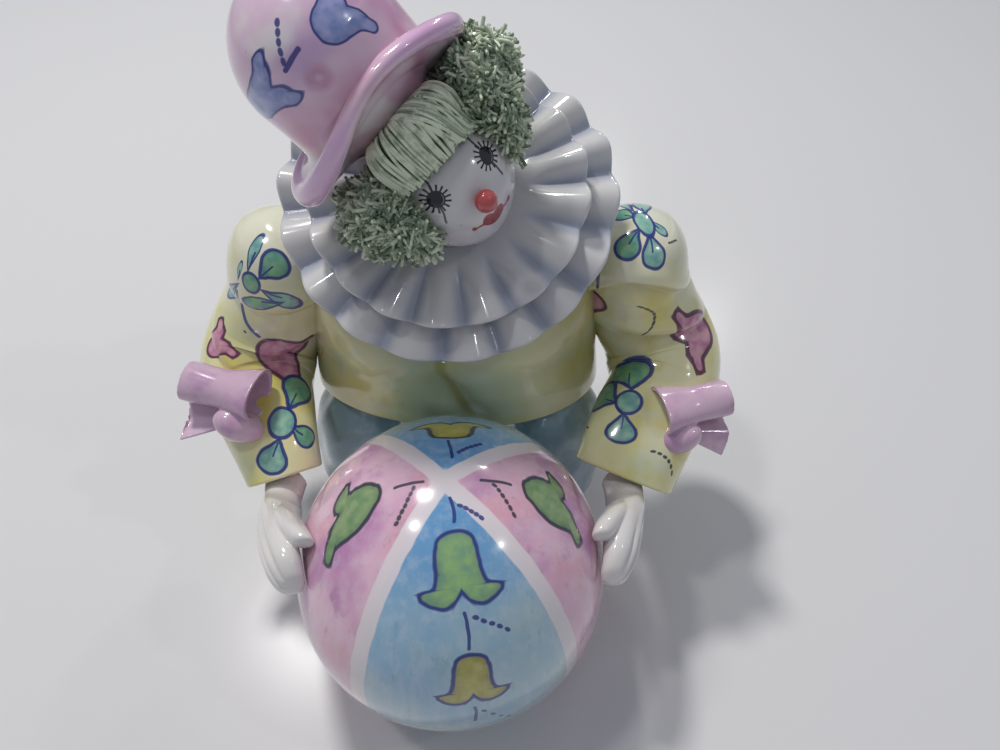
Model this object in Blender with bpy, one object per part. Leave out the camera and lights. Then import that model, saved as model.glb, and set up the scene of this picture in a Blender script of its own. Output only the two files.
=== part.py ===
"""Clown figurine of hand-built glazed ceramic: a clown leans over a striped ball and holds it.

Metres, +Z up. The origin is the middle of the ball's flat foot, -Y is the front and +X is the
viewer's right. The clown stands behind the ball, on the +Y side.
"""
import math

import bmesh
import bpy
from mathutils import Euler, Vector

# Driving sizes, in metres
FIGURE_HEIGHT = 0.2355
BALL_RADIUS = 0.055
SEAM_GAP = 0.0003
CLAY_WALL = 0.0025
BALL_TO_LEG = 0.006
BALL_TO_HEM = 0.0018
RUFF_LOWER_RADIUS = 0.0575
RUFF_UPPER_RADIUS = 0.047
RUFF_THICKNESS = 0.0022
FLUTE_HEIGHT = 0.0027
NOSE_RADIUS = 0.0035
CUFF_HALF_WIDTH_RIGHT = 0.0195
CUFF_HALF_WIDTH_LEFT = 0.0145
CUFF_DEPTH = 0.007
WRIST_HALF_WIDTH = 0.008
BOW_WALL = 0.0017

# Counts of what repeats
RUFF_LOWER_FLUTES = 18
RUFF_UPPER_FLUTES = 17
FRINGE_LOCKS = 12
BALL_RINGS = 16

# The pose is written at this height, in millimetres, and scaled to FIGURE_HEIGHT
POSE_HEIGHT = 235.5
FIG = FIGURE_HEIGHT / POSE_HEIGHT

# The ball stands on a flat as wide as its lowest ring of faces
BALL_CENTRE = Vector((0, 0, BALL_RADIUS * math.cos(math.pi / BALL_RINGS)))

# Height and half depth of the jacket's hem, and how high the hollow behind it goes
HEM_Z = 72 * FIG
HEM_HALF_DEPTH = 33 * FIG
JACKET_HOLLOW_TOP = 92 * FIG

# The jacket's side stands just outside the lower ruff's rim; WIDE is a unit of its width
JACKET_HALF_WIDTH = RUFF_LOWER_RADIUS + 0.5 * FIG
JACKET_WIDE_UNITS = 58
WIDE = JACKET_HALF_WIDTH / JACKET_WIDE_UNITS

# Each leg stands at this distance from the ball's middle, this far round from straight behind it
LEG_HALF_WIDTH = 20.5 * FIG
LEG_DISTANCE = BALL_RADIUS + BALL_TO_LEG + LEG_HALF_WIDTH
LEG_SPREAD = math.radians(30)

COLOURS = {
    "ball_glaze": (0.66, 0.52, 0.66, 0.2),
    "blue_glaze": (0.22, 0.42, 0.52, 0.2),
    "yellow_glaze": (0.88, 0.83, 0.46, 0.2),
    "white_glaze": (0.86, 0.85, 0.82, 0.2),
    "pink_glaze": (0.78, 0.50, 0.68, 0.2),
    "red_glaze": (0.62, 0.10, 0.09, 0.2),
    "hair_clay": (0.50, 0.58, 0.46, 0.6),
}


def start_scene():
    for old in list(bpy.data.objects):
        bpy.data.objects.remove(old)
    parts = bpy.data.collections.new("clown_figurine")
    cutters = bpy.data.collections.new("cutters")
    bpy.context.scene.collection.children.link(parts)
    bpy.context.scene.collection.children.link(cutters)
    return parts, cutters


PARTS, CUTTERS = start_scene()


def material(name):
    found = bpy.data.materials.get(name)
    if found:
        return found
    red, green, blue, rough = COLOURS[name]
    made = bpy.data.materials.new(name)
    made.use_nodes = True
    shader = made.node_tree.nodes["Principled BSDF"]
    shader.inputs["Base Color"].default_value = (red, green, blue, 1)
    shader.inputs["Roughness"].default_value = rough
    shader.inputs["Metallic"].default_value = 0
    return made


def add_object(name, bm, glaze, collection=PARTS):
    """Turn a finished bmesh into a named object, smooth, with its faces outwards."""
    bmesh.ops.recalc_face_normals(bm, faces=bm.faces)
    mesh = bpy.data.meshes.new(name)
    bm.to_mesh(mesh)
    bm.free()
    made = bpy.data.objects.new(name, mesh)
    collection.objects.link(made)
    if glaze:
        mesh.materials.append(material(glaze))
    mesh.shade_smooth()
    mesh.set_sharp_from_angle(angle=math.radians(50))
    return made


def ellipse(centre, side, up, half_side, half_up, count, power=2.0):
    """A closed ring of points, round at power 2 and squarer above it."""
    ring = []
    for index in range(count):
        angle = 2 * math.pi * index / count
        c, s = math.cos(angle), math.sin(angle)
        x = math.copysign(abs(c) ** (2 / power), c) * half_side
        y = math.copysign(abs(s) ** (2 / power), s) * half_up
        ring.append(centre + side * x + up * y)
    return ring


def loft(rings):
    """Skin a row of rings of equal count, with a fan over each end."""
    bm = bmesh.new()
    rows = [[bm.verts.new(point) for point in ring] for ring in rings]
    count = len(rows[0])
    for low, high in zip(rows, rows[1:]):
        for index in range(count):
            after = (index + 1) % count
            bm.faces.new((low[index], low[after], high[after], high[index]))
    for row in (rows[0], rows[-1]):
        middle = bm.verts.new(sum((v.co for v in row), Vector()) / count)
        for index in range(count):
            bm.faces.new((row[index], row[(index + 1) % count], middle))
    return bm


def blend_rows(rows, steps):
    """Smooth curve through rows of numbers (Catmull-Rom), with steps points to a span."""
    ends = [rows[0]] + list(rows) + [rows[-1]]
    result = []
    for first, second, third, fourth in zip(ends, ends[1:], ends[2:], ends[3:]):
        for step in range(steps):
            t = step / steps
            result.append([
                0.5 * (2 * b + (c - a) * t + (2 * a - 5 * b + 4 * c - d) * t * t
                       + (3 * b - a - 3 * c + d) * t ** 3)
                for a, b, c, d in zip(first, second, third, fourth)
            ])
    result.append(list(rows[-1]))
    return result


def smoothstep(low, high, value):
    share = min(max((value - low) / (high - low), 0.0), 1.0)
    return share * share * (3 - 2 * share)


def boolean(target, tool, operation):
    """Join or cut a part with a hidden tool object."""
    step = target.modifiers.new(operation.lower(), "BOOLEAN")
    step.operation = operation
    step.solver = "EXACT"
    step.object = tool
    tool.hide_render = True
    tool.display_type = "WIRE"


# The ball


def make_ball():
    bm = bmesh.new()
    bmesh.ops.create_uvsphere(bm, u_segments=24, v_segments=BALL_RINGS, radius=BALL_RADIUS)
    foot = -BALL_CENTRE.z
    for vertex in bm.verts:
        vertex.co.z = max(vertex.co.z, foot) + BALL_CENTRE.z
        if vertex.co.z < SEAM_GAP:
            vertex.co.z = 0
    add_object("ball", bm, "ball_glaze")


# Shoes and trousers, hidden behind the ball and kept plain

SHOE_TOP = 12 * FIG
SHOE_ROWS = (
    # along the sole from the heel, half width, height
    (0, 4, 5), (3, 9, 10), (12, 11, SHOE_TOP / FIG), (41, 12, SHOE_TOP / FIG),
    (50, 14.5, 16.5), (59, 12.5, 14.5), (64, 5, 7),
)
SHOE_HEEL_BACK = 21 * FIG
SHOE_TURN = math.radians(12)


def leg_foot(sign):
    """Middle of a leg where it meets the floor."""
    return Vector((sign * LEG_DISTANCE * math.sin(LEG_SPREAD), LEG_DISTANCE * math.cos(LEG_SPREAD), 0))


def make_shoe(name, sign):
    forward = Vector((sign * math.sin(SHOE_TURN), -math.cos(SHOE_TURN), 0))
    side = Vector((forward.y, -forward.x, 0))
    heel = leg_foot(sign) - forward * SHOE_HEEL_BACK
    rings = []
    for along, half_width, height in SHOE_ROWS:
        ring = []
        for index in range(9):
            angle = math.pi * index / 8
            across = math.copysign(abs(math.cos(angle)) ** 0.75, math.cos(angle)) * half_width
            up = math.sin(angle) ** 0.75 * height
            ring.append(heel + forward * along * FIG + side * across * FIG + Vector((0, 0, up * FIG)))
        for share in (-0.4, 0.4):
            ring.append(heel + forward * along * FIG + side * share * half_width * FIG)
        rings.append(ring)
    add_object(name, loft(rings), "pink_glaze")


LEG_ROWS = (
    # height, half width, lean inwards and backwards
    (SHOE_TOP / FIG + SEAM_GAP / FIG, 19.0, 0, 0), (16, 20.0, 0, 0), (30, 20.5, 0, 0), (45, 20.5, 0, 0),
    (58, 19.0, 1, 2), (68, 15.5, 4, 6), (78, 13.5, 7, 9), (86, 11.0, 9, 10),
)
LEG_TO_HEM_WALL = 1.5 * FIG
LEG_LEAN_FROM = 60 * FIG
PLUG_RECESS = 3 * FIG


def leg_rings(sign, count):
    foot = leg_foot(sign)
    rings = []
    for height, half, inwards, back in LEG_ROWS:
        centre = foot + Vector((-sign * inwards, back, height)) * FIG
        if centre.z > LEG_LEAN_FROM:
            room = JACKET_HALF_WIDTH - CLAY_WALL - LEG_TO_HEM_WALL - half * FIG
            centre.x = sign * min(abs(centre.x), room)
        ring = []
        for index in range(count):
            angle = 2 * math.pi * index / count
            fold = 1 + 0.035 * math.sin(5 * angle + height / 9) * smoothstep(12, 24, height)
            radius = half * FIG * (fold if height > 13 else 1)
            ring.append(centre + Vector((math.cos(angle), math.sin(angle), 0)) * radius)
        rings.append(ring)
    return rings


# The ruff's own frame: its middle, the way it faces, and its front in its own plane

RUFF_TILT = math.radians(36.9)
RUFF_SIDE = Vector((1, 0, 0))
RUFF_UP = Vector((0, -math.sin(RUFF_TILT), math.cos(RUFF_TILT)))
RUFF_FRONT = Vector((0, -math.cos(RUFF_TILT), -math.sin(RUFF_TILT)))


def ball_reach(height):
    """How far the ball's side is from its axis, at or above a height."""
    above = max(height - BALL_CENTRE.z, 0)
    return math.sqrt(max(BALL_RADIUS ** 2 - above ** 2, 0))


HEM_MIDDLE_Y = ball_reach(HEM_Z) + BALL_TO_HEM + HEM_HALF_DEPTH
RUFF_CENTRE = Vector((0, HEM_MIDDLE_Y - 1.4 * FIG, 154.7 * FIG))
RUFF_INNER_LOWER = 15.5 * FIG
RUFF_INNER_UPPER = 18.5 * FIG
RUFF_BACK_SHARE = 0.83
NECK_HALF = 23 * FIG


# Jacket, a bell from the neck down to the hem and back up inside

JACKET_ROWS = (
    # height, half width, half depth, backwards, tilt in degrees, squareness
    (72, 58, 33, 0, 0, 2.6), (77, 57.5, 33.3, 0, 0, 2.6), (90, 56, 34.5, 0, 3, 2.5),
    (106, 55, 34.5, 0, 8, 2.4), (120, 53.5, 32, 0, 16, 2.3), (131, 48, 28, 0.5, 25, 2.2),
    (141, 39, 25, 1, 32, 2.1), (148, 29.5, 23.8, 0.5, 36, 2.0),
)
JACKET_AROUND = 30


def jacket_ring(row, grow=0.0):
    height, half_width, half_depth, back, tilt, power = row
    lean = math.radians(tilt)
    front = Vector((0, -math.cos(lean), -math.sin(lean)))
    centre = Vector((0, HEM_MIDDLE_Y + back * FIG, height * FIG))
    ring = ellipse(centre, RUFF_SIDE, front, half_width * WIDE + grow, half_depth * FIG + grow,
                   JACKET_AROUND, power)
    chest = math.exp(-((height - 98) / 16) ** 2) * 2.2 * FIG
    for index, point in enumerate(ring):
        across = point.x / (half_width * WIDE)
        facing = max(math.sin(2 * math.pi * index / JACKET_AROUND), 0)
        lobes = facing * (1 - math.exp(-(across / 0.16) ** 2)) * math.cos(across * math.pi / 2)
        ring[index] = point + front * chest * (lobes - 0.4 * facing)
    return ring


def neck_ring(grow=0.0):
    drop = RUFF_THICKNESS / 2 + SEAM_GAP - grow
    return ellipse(RUFF_CENTRE - RUFF_UP * drop, RUFF_SIDE, RUFF_FRONT, NECK_HALF + grow,
                   NECK_HALF + grow, JACKET_AROUND)


def jacket_hollow_rings(clearance=0.0):
    """Rings of the hollow behind the hem, from the hem up to its flat ceiling."""
    shrink = -CLAY_WALL - clearance
    rings = [jacket_ring(row, shrink) for row in JACKET_ROWS[:3]]
    lift = JACKET_HOLLOW_TOP - JACKET_ROWS[2][0] * FIG
    rings[2] = [point + Vector((0, 0, lift)) for point in rings[2]]
    return rings


def make_jacket():
    outside = [neck_ring()] + [jacket_ring(row) for row in reversed(JACKET_ROWS)]
    add_object("jacket", loft(outside + jacket_hollow_rings()), "yellow_glaze")


def make_jacket_cutter():
    rings = [neck_ring(SEAM_GAP)] + [jacket_ring(row, SEAM_GAP) for row in reversed(JACKET_ROWS)]
    return add_object("jacket_clearance_tool", loft(rings), None, CUTTERS)


def make_trousers():
    """Two legs, joined by a plug that closes the hollow behind the jacket's hem."""
    trousers = add_object("trousers", loft(leg_rings(1, 12)), "blue_glaze")
    other = add_object("trouser_leg_tool", loft(leg_rings(-1, 12)), None, CUTTERS)
    rings = jacket_hollow_rings(2 * SEAM_GAP)
    low, high = rings[0], rings[1]
    rings[0] = [a.lerp(b, PLUG_RECESS / (b.z - a.z)) for a, b in zip(low, high)]
    rings[-1] = [point - Vector((0, 0, 2 * SEAM_GAP)) for point in rings[-1]]
    plug = add_object("trouser_plug_tool", loft(rings), None, CUTTERS)
    boolean(trousers, plug, "UNION")
    boolean(trousers, other, "UNION")


# Sleeves, from the shoulder down to the elbow and forward to an open cuff

# Where the cuff's mouth is: beside the ball, this far out from its axis
CUFF_ANGLE = math.radians(27)
CUFF_DISTANCE = BALL_RADIUS + 17.5 * FIG
CUFF_HEIGHT = BALL_CENTRE.z + 10.5 * FIG
CUFF_HALF_HEIGHT = 12.5 * FIG
CUFF_NARROWING = 0.92
FOREARM_ARCH = 4 * FIG

ARM_ROWS = (
    # x, backwards from the hem's middle, height, half width, half height
    (61, 4, 140.5, 3, 3), (61.5, 4, 139, 10, 10), (63, 4, 134, 17, 17), (65.5, 4, 126, 21, 21),
    (67, 3.5, 117, 22, 22), (69, 3.5, 110, 20, 20), (72, 3, 103, 22, 22),
    (75.5, 2, 96.5, 20.3, 20.3), (80.5, -1, 88, 22.5, 22), (83.5, -8, 80.5, 23, 21.5),
    (82, -20, 76, 21.5, 18.5),
)
ARM_AROUND = 12

# The left arm is held this much closer to the body
LEFT_ARM_IN = 3.5 * FIG


def arm_rows(sign):
    """Rows of the right or left sleeve, in metres, that end at the cuff's mouth."""
    half_width = CUFF_HALF_WIDTH_RIGHT if sign > 0 else CUFF_HALF_WIDTH_LEFT
    mouth = Vector((CUFF_DISTANCE * math.cos(CUFF_ANGLE), CUFF_DISTANCE * math.sin(CUFF_ANGLE),
                    CUFF_HEIGHT))
    closer = LEFT_ARM_IN if sign < 0 else 0
    beside = JACKET_HALF_WIDTH - JACKET_WIDE_UNITS * FIG - closer
    rows = [[x * FIG + beside, HEM_MIDDLE_Y + back * FIG, z * FIG, a * FIG, b * FIG]
            for x, back, z, a, b in ARM_ROWS]
    elbow = Vector(rows[-1][:3])
    for share, height_share in ((0.42, 1.12), (0.75, 1.0)):
        middle = elbow.lerp(mouth, share) + Vector((0, 0, FOREARM_ARCH))
        width = rows[len(ARM_ROWS) - 1][3] * (1 - share) + half_width * share
        rows.append([*middle, width, CUFF_HALF_HEIGHT * height_share])
    rows.append([*mouth, half_width, CUFF_HALF_HEIGHT])
    return rows


def arm_frames(rows):
    """Centre, sideways and upwards directions of each row's ring."""
    points = [Vector(row[:3]) for row in rows]
    frames = []
    for index, point in enumerate(points):
        along = points[min(index + 1, len(points) - 1)] - points[max(index - 1, 0)]
        along.normalize()
        up = along.cross(Vector((1, 0, 0))).normalized()
        frames.append((point, up.cross(along), up))
    return frames


def sleeve_ring(frame, row, grow=0.0, around=ARM_AROUND):
    centre, side, up = frame
    return ellipse(centre, side, up, row[3] + grow, row[4] + grow, around)


def sleeve_rings(sign, grow=0.0):
    rows = blend_rows(arm_rows(sign), 2)
    frames = arm_frames(rows)
    rings = []
    for index, (frame, row) in enumerate(zip(frames, rows)):
        ring = sleeve_ring(frame, row, grow)
        middle = Vector((row[0], row[1], row[2]))
        height = row[2] / FIG
        waist = math.exp(-((height - 110) / 5) ** 2) + 0.8 * math.exp(-((height - 96) / 4) ** 2)
        for number, point in enumerate(ring):
            inward = max(-(point - middle).normalized().y, 0)
            ring[number] = point.lerp(middle, 0.09 * waist * inward)
        rings.append(ring)
    if sign < 0:
        rings = [[Vector((-p.x, p.y, p.z)) for p in ring] for ring in rings]
    return rings


def make_sleeve(name, sign, jacket_tool):
    rings = sleeve_rings(sign)
    outer = rings[-1]
    middle = sum(outer, Vector()) / len(outer)
    back = sum(rings[-2], Vector()) / len(outer) - middle
    back.normalize()
    half_width = CUFF_HALF_WIDTH_RIGHT if sign > 0 else CUFF_HALF_WIDTH_LEFT
    inner_share = 1 - CLAY_WALL / min(half_width, CUFF_HALF_HEIGHT)
    for depth, share in ((0.0, 1.0), (CLAY_WALL / 2, CUFF_NARROWING), (CUFF_DEPTH, CUFF_NARROWING)):
        offset = back * depth
        rings.append([middle + (point - middle) * inner_share * share + offset for point in outer])
    sleeve = add_object(name, loft(rings), "yellow_glaze")
    boolean(sleeve, jacket_tool, "DIFFERENCE")


# Hands, mittens that lie on the ball with the thumb above

HAND_ROWS = (
    # degrees round the ball and up from its middle, space to the ball, half width, half thickness
    (28.8, 6.4, 9.6, 0.84, 0.88), (23, 6.6, 7.2, 0.90, 0.96), (18, 8.0, 4.8, 0.98, 0.98),
    (12.5, 12.6, 3.0, 1.12, 0.96), (6.5, 16.0, 1.8, 1.16, 0.88), (-0.5, 17.8, 0.9, 1.12, 0.80),
    (-7.5, 18.0, 0.4, 1.02, 0.70), (-13.5, 17.4, 0.3, 0.70, 0.50), (-16, 17.0, 0.9, 0.2, 0.15),
)
THUMB_ROWS = (
    (13.5, 16.0, 3.6, 0.58, 0.62), (7.5, 22.5, 2.4, 0.58, 0.60), (1.0, 27.0, 0.9, 0.56, 0.54),
    (-4.5, 29.0, 0.3, 0.44, 0.40), (-6.2, 29.4, 0.9, 0.12, 0.12),
)

# The left hand lies further over the ball: more to the front and higher, in degrees, and closer
LEFT_HAND_FORWARD = 9
LEFT_HAND_CLIMB = 9
LEFT_HAND_CLOSER = 0.6


def hand_rings(rows, sign, count):
    rings = []
    for angle, climb, space, wide, thick in rows:
        if sign < 0:
            space *= 1 - LEFT_HAND_CLOSER * smoothstep(22, 10, angle)
            over = smoothstep(19, -10, angle)
            angle -= LEFT_HAND_FORWARD * over
            climb += LEFT_HAND_CLIMB * over
        turn, rise = math.radians(angle), math.radians(climb)
        outward = Vector((sign * math.cos(turn) * math.cos(rise), math.sin(turn) * math.cos(rise),
                          math.sin(rise)))
        half_thick = WRIST_HALF_WIDTH * thick
        centre = BALL_CENTRE + outward * (BALL_RADIUS + SEAM_GAP + space * FIG + half_thick)
        upright = Vector((0, 0, 1))
        upright = (upright - outward * upright.dot(outward)).normalized()
        rings.append(ellipse(centre, outward, upright, half_thick, WRIST_HALF_WIDTH * wide, count))
    return rings


def make_hand(name, sign):
    hand = add_object(name, loft(hand_rings(HAND_ROWS, sign, 12)), "white_glaze")
    thumb = add_object(name + "_thumb_tool", loft(hand_rings(THUMB_ROWS, sign, 8)), None, CUTTERS)
    boolean(hand, thumb, "UNION")


# Ribbon bows on the cuffs

# From the side of the forearm, at its third ring from the cuff's mouth
BOW_FROM_ARM_RIGHT = Vector((-5.36, -5.25, 9.9))
BOW_FROM_ARM_LEFT = Vector((-6.72, -3.75, 16.9))
BOW_SCALE_RIGHT = 1.12
BOW_SCALE_LEFT = 1.2
BOW_LOOP_A = ((-12, -2, 2), (11, 4, 3), 8.2, 6.8)
BOW_LOOP_B = ((9, 7, -5), (7, -11, -13), 6.2, 5.4)
BOW_KNOT = ((-1, -7.5, -2.5), Vector((7.5, 6.2, 6.2)))


def tube_rings(start, end, radius, waist, count):
    """A short open tube with a narrow middle, out along its outside and back through its inside."""
    along = (end - start).normalized()
    side = along.cross(Vector((0, 0, 1))).normalized()
    up = side.cross(along)
    outside, inside = [], []
    for share in (0.0, 0.3, 0.7, 1.0):
        half = radius + (waist - radius) * (1 - (2 * share - 1) ** 2)
        centre = start.lerp(end, share)
        outside.append(ellipse(centre, side, up, half, half * 0.8, count))
        thin = max(half - BOW_WALL, half * 0.3)
        inside.append(ellipse(centre, side, up, thin, thin * 0.8, count))
    return outside + inside[::-1]


def ring_tube(rings):
    """Skin a tube that is open at both ends: the last ring joins the first."""
    bm = bmesh.new()
    rows = [[bm.verts.new(point) for point in ring] for ring in rings]
    count = len(rows[0])
    for low, high in zip(rows, rows[1:] + rows[:1]):
        for index in range(count):
            after = (index + 1) % count
            bm.faces.new((low[index], low[after], high[after], high[index]))
    return bm


def bow_point(sign, x, y, z):
    scale = BOW_SCALE_RIGHT if sign > 0 else BOW_SCALE_LEFT
    offset = BOW_FROM_ARM_RIGHT if sign > 0 else BOW_FROM_ARM_LEFT
    arm_x, arm_y, arm_z, half_width, _ = arm_rows(sign)[-3]
    spot = Vector((arm_x + half_width, arm_y, arm_z)) + (offset + Vector((x, y, z)) * scale) * FIG
    return Vector((sign * spot.x, spot.y, spot.z))


def make_bow(name, sign, sleeve_tool):
    size = FIG * (BOW_SCALE_RIGHT if sign > 0 else BOW_SCALE_LEFT)
    start, end, radius, waist = BOW_LOOP_A
    rings = tube_rings(bow_point(sign, *start), bow_point(sign, *end), radius * size, waist * size, 8)
    bow = add_object(name, ring_tube(rings), "pink_glaze")
    start, end, radius, waist = BOW_LOOP_B
    rings = tube_rings(bow_point(sign, *start), bow_point(sign, *end), radius * size, waist * size, 7)
    tail = add_object(name + "_tail_tool", ring_tube(rings), None, CUTTERS)
    centre, half = BOW_KNOT
    knot = bmesh.new()
    bmesh.ops.create_uvsphere(knot, u_segments=8, v_segments=5, radius=1)
    for vertex in knot.verts:
        vertex.co = bow_point(sign, *centre) + Vector(a * b * size for a, b in zip(vertex.co, half))
    knot = add_object(name + "_knot_tool", knot, None, CUTTERS)
    boolean(bow, tail, "UNION")
    boolean(bow, knot, "UNION")
    boolean(bow, sleeve_tool, "DIFFERENCE")


# Ruffs: flat rings whose flutes grow from the neck to the rim


def flute_wave(angle, flutes, phase):
    """Broad rounded ridges with narrow valleys, from -1 to 1."""
    share = (angle * flutes / (2 * math.pi) + phase) % 1.0
    return 2 * abs(math.sin(math.pi * share)) ** 0.8 - 1


def make_ruff(name, inner, radius, flutes, rise_inner, rise_outer, phase):
    bm = bmesh.new()
    per_flute = 4
    count = flutes * per_flute
    shares = (0.0, 0.45, 1.0)
    top, bottom = [], []
    for share in shares:
        lift = rise_inner + (rise_outer - rise_inner) * share
        grow = smoothstep(0.15, 1.0, share) * 0.5 + 0.5 * smoothstep(0.1, 0.6, share)
        for rows, side in ((top, 1), (bottom, -1)):
            row = []
            for index in range(count):
                angle = 2 * math.pi * index / count
                wave = flute_wave(angle, flutes, phase) * FLUTE_HEIGHT * grow
                behind = max(-math.sin(angle), 0) ** 2
                reach = radius * (1 - (1 - RUFF_BACK_SHARE) * behind)
                out = inner + (reach - inner) * share + 0.25 * wave
                height = lift + wave + side * RUFF_THICKNESS / 2
                point = (RUFF_CENTRE + RUFF_SIDE * out * math.cos(angle)
                         + RUFF_FRONT * out * math.sin(angle) + RUFF_UP * height)
                row.append(bm.verts.new(point))
            rows.append(row)
    loop = top + bottom[::-1]
    for low, high in zip(loop, loop[1:] + loop[:1]):
        for index in range(count):
            after = (index + 1) % count
            bm.faces.new((low[index], low[after], high[after], high[index]))
    add_object(name, bm, "white_glaze")


def make_ruffs():
    make_ruff("ruff_lower", RUFF_INNER_LOWER, RUFF_LOWER_RADIUS, RUFF_LOWER_FLUTES, 0.0, 0.0, 0.35)
    seat = RUFF_THICKNESS + SEAM_GAP
    make_ruff("ruff_upper", RUFF_INNER_UPPER, RUFF_UPPER_RADIUS, RUFF_UPPER_FLUTES,
              seat, seat + 2 * FLUTE_HEIGHT, 0.1)


# Head, nose, hair and hat share the head's middle

HEAD_HALF = 20 * FIG
CHIN_DROP = 21.5 * FIG
HEAD_FRAME = Euler((math.radians(-28.8), math.radians(-23.3), math.radians(36.4))).to_matrix()
HEAD_CENTRE = RUFF_CENTRE + Vector((2.2, -14.0, 14.7)) * FIG
HAT_LEAN = Euler((math.radians(2.7), math.radians(-8.3), 0)).to_matrix()
HAT_FRAME = HEAD_FRAME @ HAT_LEAN


def head_place(local):
    return HEAD_CENTRE + HEAD_FRAME @ Vector(local)


def hat_place(local):
    return HEAD_CENTRE + HAT_FRAME @ Vector(local)


def make_head():
    bm = bmesh.new()
    bmesh.ops.create_uvsphere(bm, u_segments=20, v_segments=12, radius=1)
    for vertex in bm.verts:
        x, y, z = vertex.co
        drop = CHIN_DROP if z < 0 else HEAD_HALF
        narrow = 1 - 0.10 * smoothstep(0.3, 1.0, -z)
        vertex.co = head_place((x * HEAD_HALF * narrow, y * HEAD_HALF * narrow, z * drop))
    add_object("head", bm, "white_glaze")


def make_nose():
    bm = bmesh.new()
    bmesh.ops.create_uvsphere(bm, u_segments=10, v_segments=6, radius=NOSE_RADIUS)
    down = math.radians(-11)
    out = HEAD_HALF * 1.005 + SEAM_GAP + NOSE_RADIUS
    spot = head_place((0, -out * math.cos(down), out * math.sin(down)))
    for vertex in bm.verts:
        vertex.co = vertex.co + spot
    add_object("nose", bm, "red_glaze")


# The hat's sizes are along and out from its own axis, from the head's middle
CROWN_HALF = 24.8 * FIG
CROWN_MIDDLE = 53.5 * FIG
HAT_UNDER = 26.4 * FIG
BRIM_UNDER = 29 * FIG
BRIM_FRONT_RISE = 8 * FIG
BRIM_HALF = 30 * FIG
BRIM_FLARE = 4.5 * FIG
LIP_THICKNESS = 7.5 * FIG
SOCKET_HALF = 14 * FIG

HAIR_TOP = 30 * FIG
HAIR_HALF = 27 * FIG
HAIR_FLOOR = HEAD_HALF + SEAM_GAP + 0.7 * FIG
BROW_ANGLE = 64
CAP_ANGLE = 36
FRINGE_SPREAD = 46
FRINGE_END = 55


def hair_dome(polar):
    """Outer distance of the cap of hair, from the head's middle, at an angle from the hat's axis."""
    full = HAIR_HALF * HAIR_TOP / math.hypot(HAIR_TOP * math.sin(polar), HAIR_HALF * math.cos(polar))
    edge = HEAD_HALF + 3.6 * FIG
    return full + (edge - full) * smoothstep(math.radians(42), math.radians(BROW_ANGLE), polar)


def polar_point(distance, polar, turn):
    """A point seen from the head's middle: polar from the hat's axis, turn from straight ahead."""
    return hat_place((distance * math.sin(polar) * math.sin(turn),
                      -distance * math.sin(polar) * math.cos(turn),
                      distance * math.cos(polar)))


def make_hair_front():
    rear = 9
    per_lock = 2
    fringe = FRINGE_LOCKS * per_lock
    turns = [-FRINGE_SPREAD + 2 * FRINGE_SPREAD * index / fringe for index in range(fringe + 1)]
    turns += [FRINGE_END + (360 - 2 * FRINGE_END) * index / rear for index in range(rear + 1)]
    bm = bmesh.new()
    shares = (0.2, 0.45, 0.7, 0.88, 1.0)
    outer, inner = [], []
    for share in shares:
        out_row, in_row = [], []
        for number, degrees in enumerate(turns):
            away = abs((degrees + 180) % 360 - 180)
            reach = CAP_ANGLE + (BROW_ANGLE - CAP_ANGLE) * (1 - smoothstep(FRINGE_SPREAD, FRINGE_END, away))
            polar = math.radians(reach * share)
            groove = 0.8 * FIG if number <= fringe and number % per_lock == 0 and share > 0.5 else 0
            turn = math.radians(degrees)
            out_row.append(bm.verts.new(polar_point(hair_dome(polar) - groove, polar, turn)))
            in_row.append(bm.verts.new(polar_point(HAIR_FLOOR, polar, turn)))
        outer.append(out_row)
        inner.append(in_row)
    loop = outer + inner[::-1]
    count = len(turns)
    for low, high in zip(loop, loop[1:]):
        for index in range(count):
            after = (index + 1) % count
            bm.faces.new((low[index], low[after], high[after], high[index]))
    for row, distance in ((outer[0], HAIR_TOP), (inner[0], HAIR_FLOOR)):
        middle = bm.verts.new(polar_point(distance, 0, 0))
        for index in range(count):
            bm.faces.new((row[index], row[(index + 1) % count], middle))
    add_object("hair_front", bm, "hair_clay")


TUFT_TURNS = (58, 112)
TUFT_POLARS = (38, 112)
TUFT_BASE = 28 * FIG
# how far each tuft sticks out at its bushiest, and the angle from the hat's axis where that is
TUFT_PEAKS = {-1: (38 * FIG, 64), 1: (45 * FIG, 56)}
TUFT_PEAK_WIDTH = 24


def tuft_outer(sign, polar):
    peak, place = TUFT_PEAKS[sign]
    return TUFT_BASE + (peak - TUFT_BASE) * math.exp(-((polar - place) / TUFT_PEAK_WIDTH) ** 2)


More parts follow.
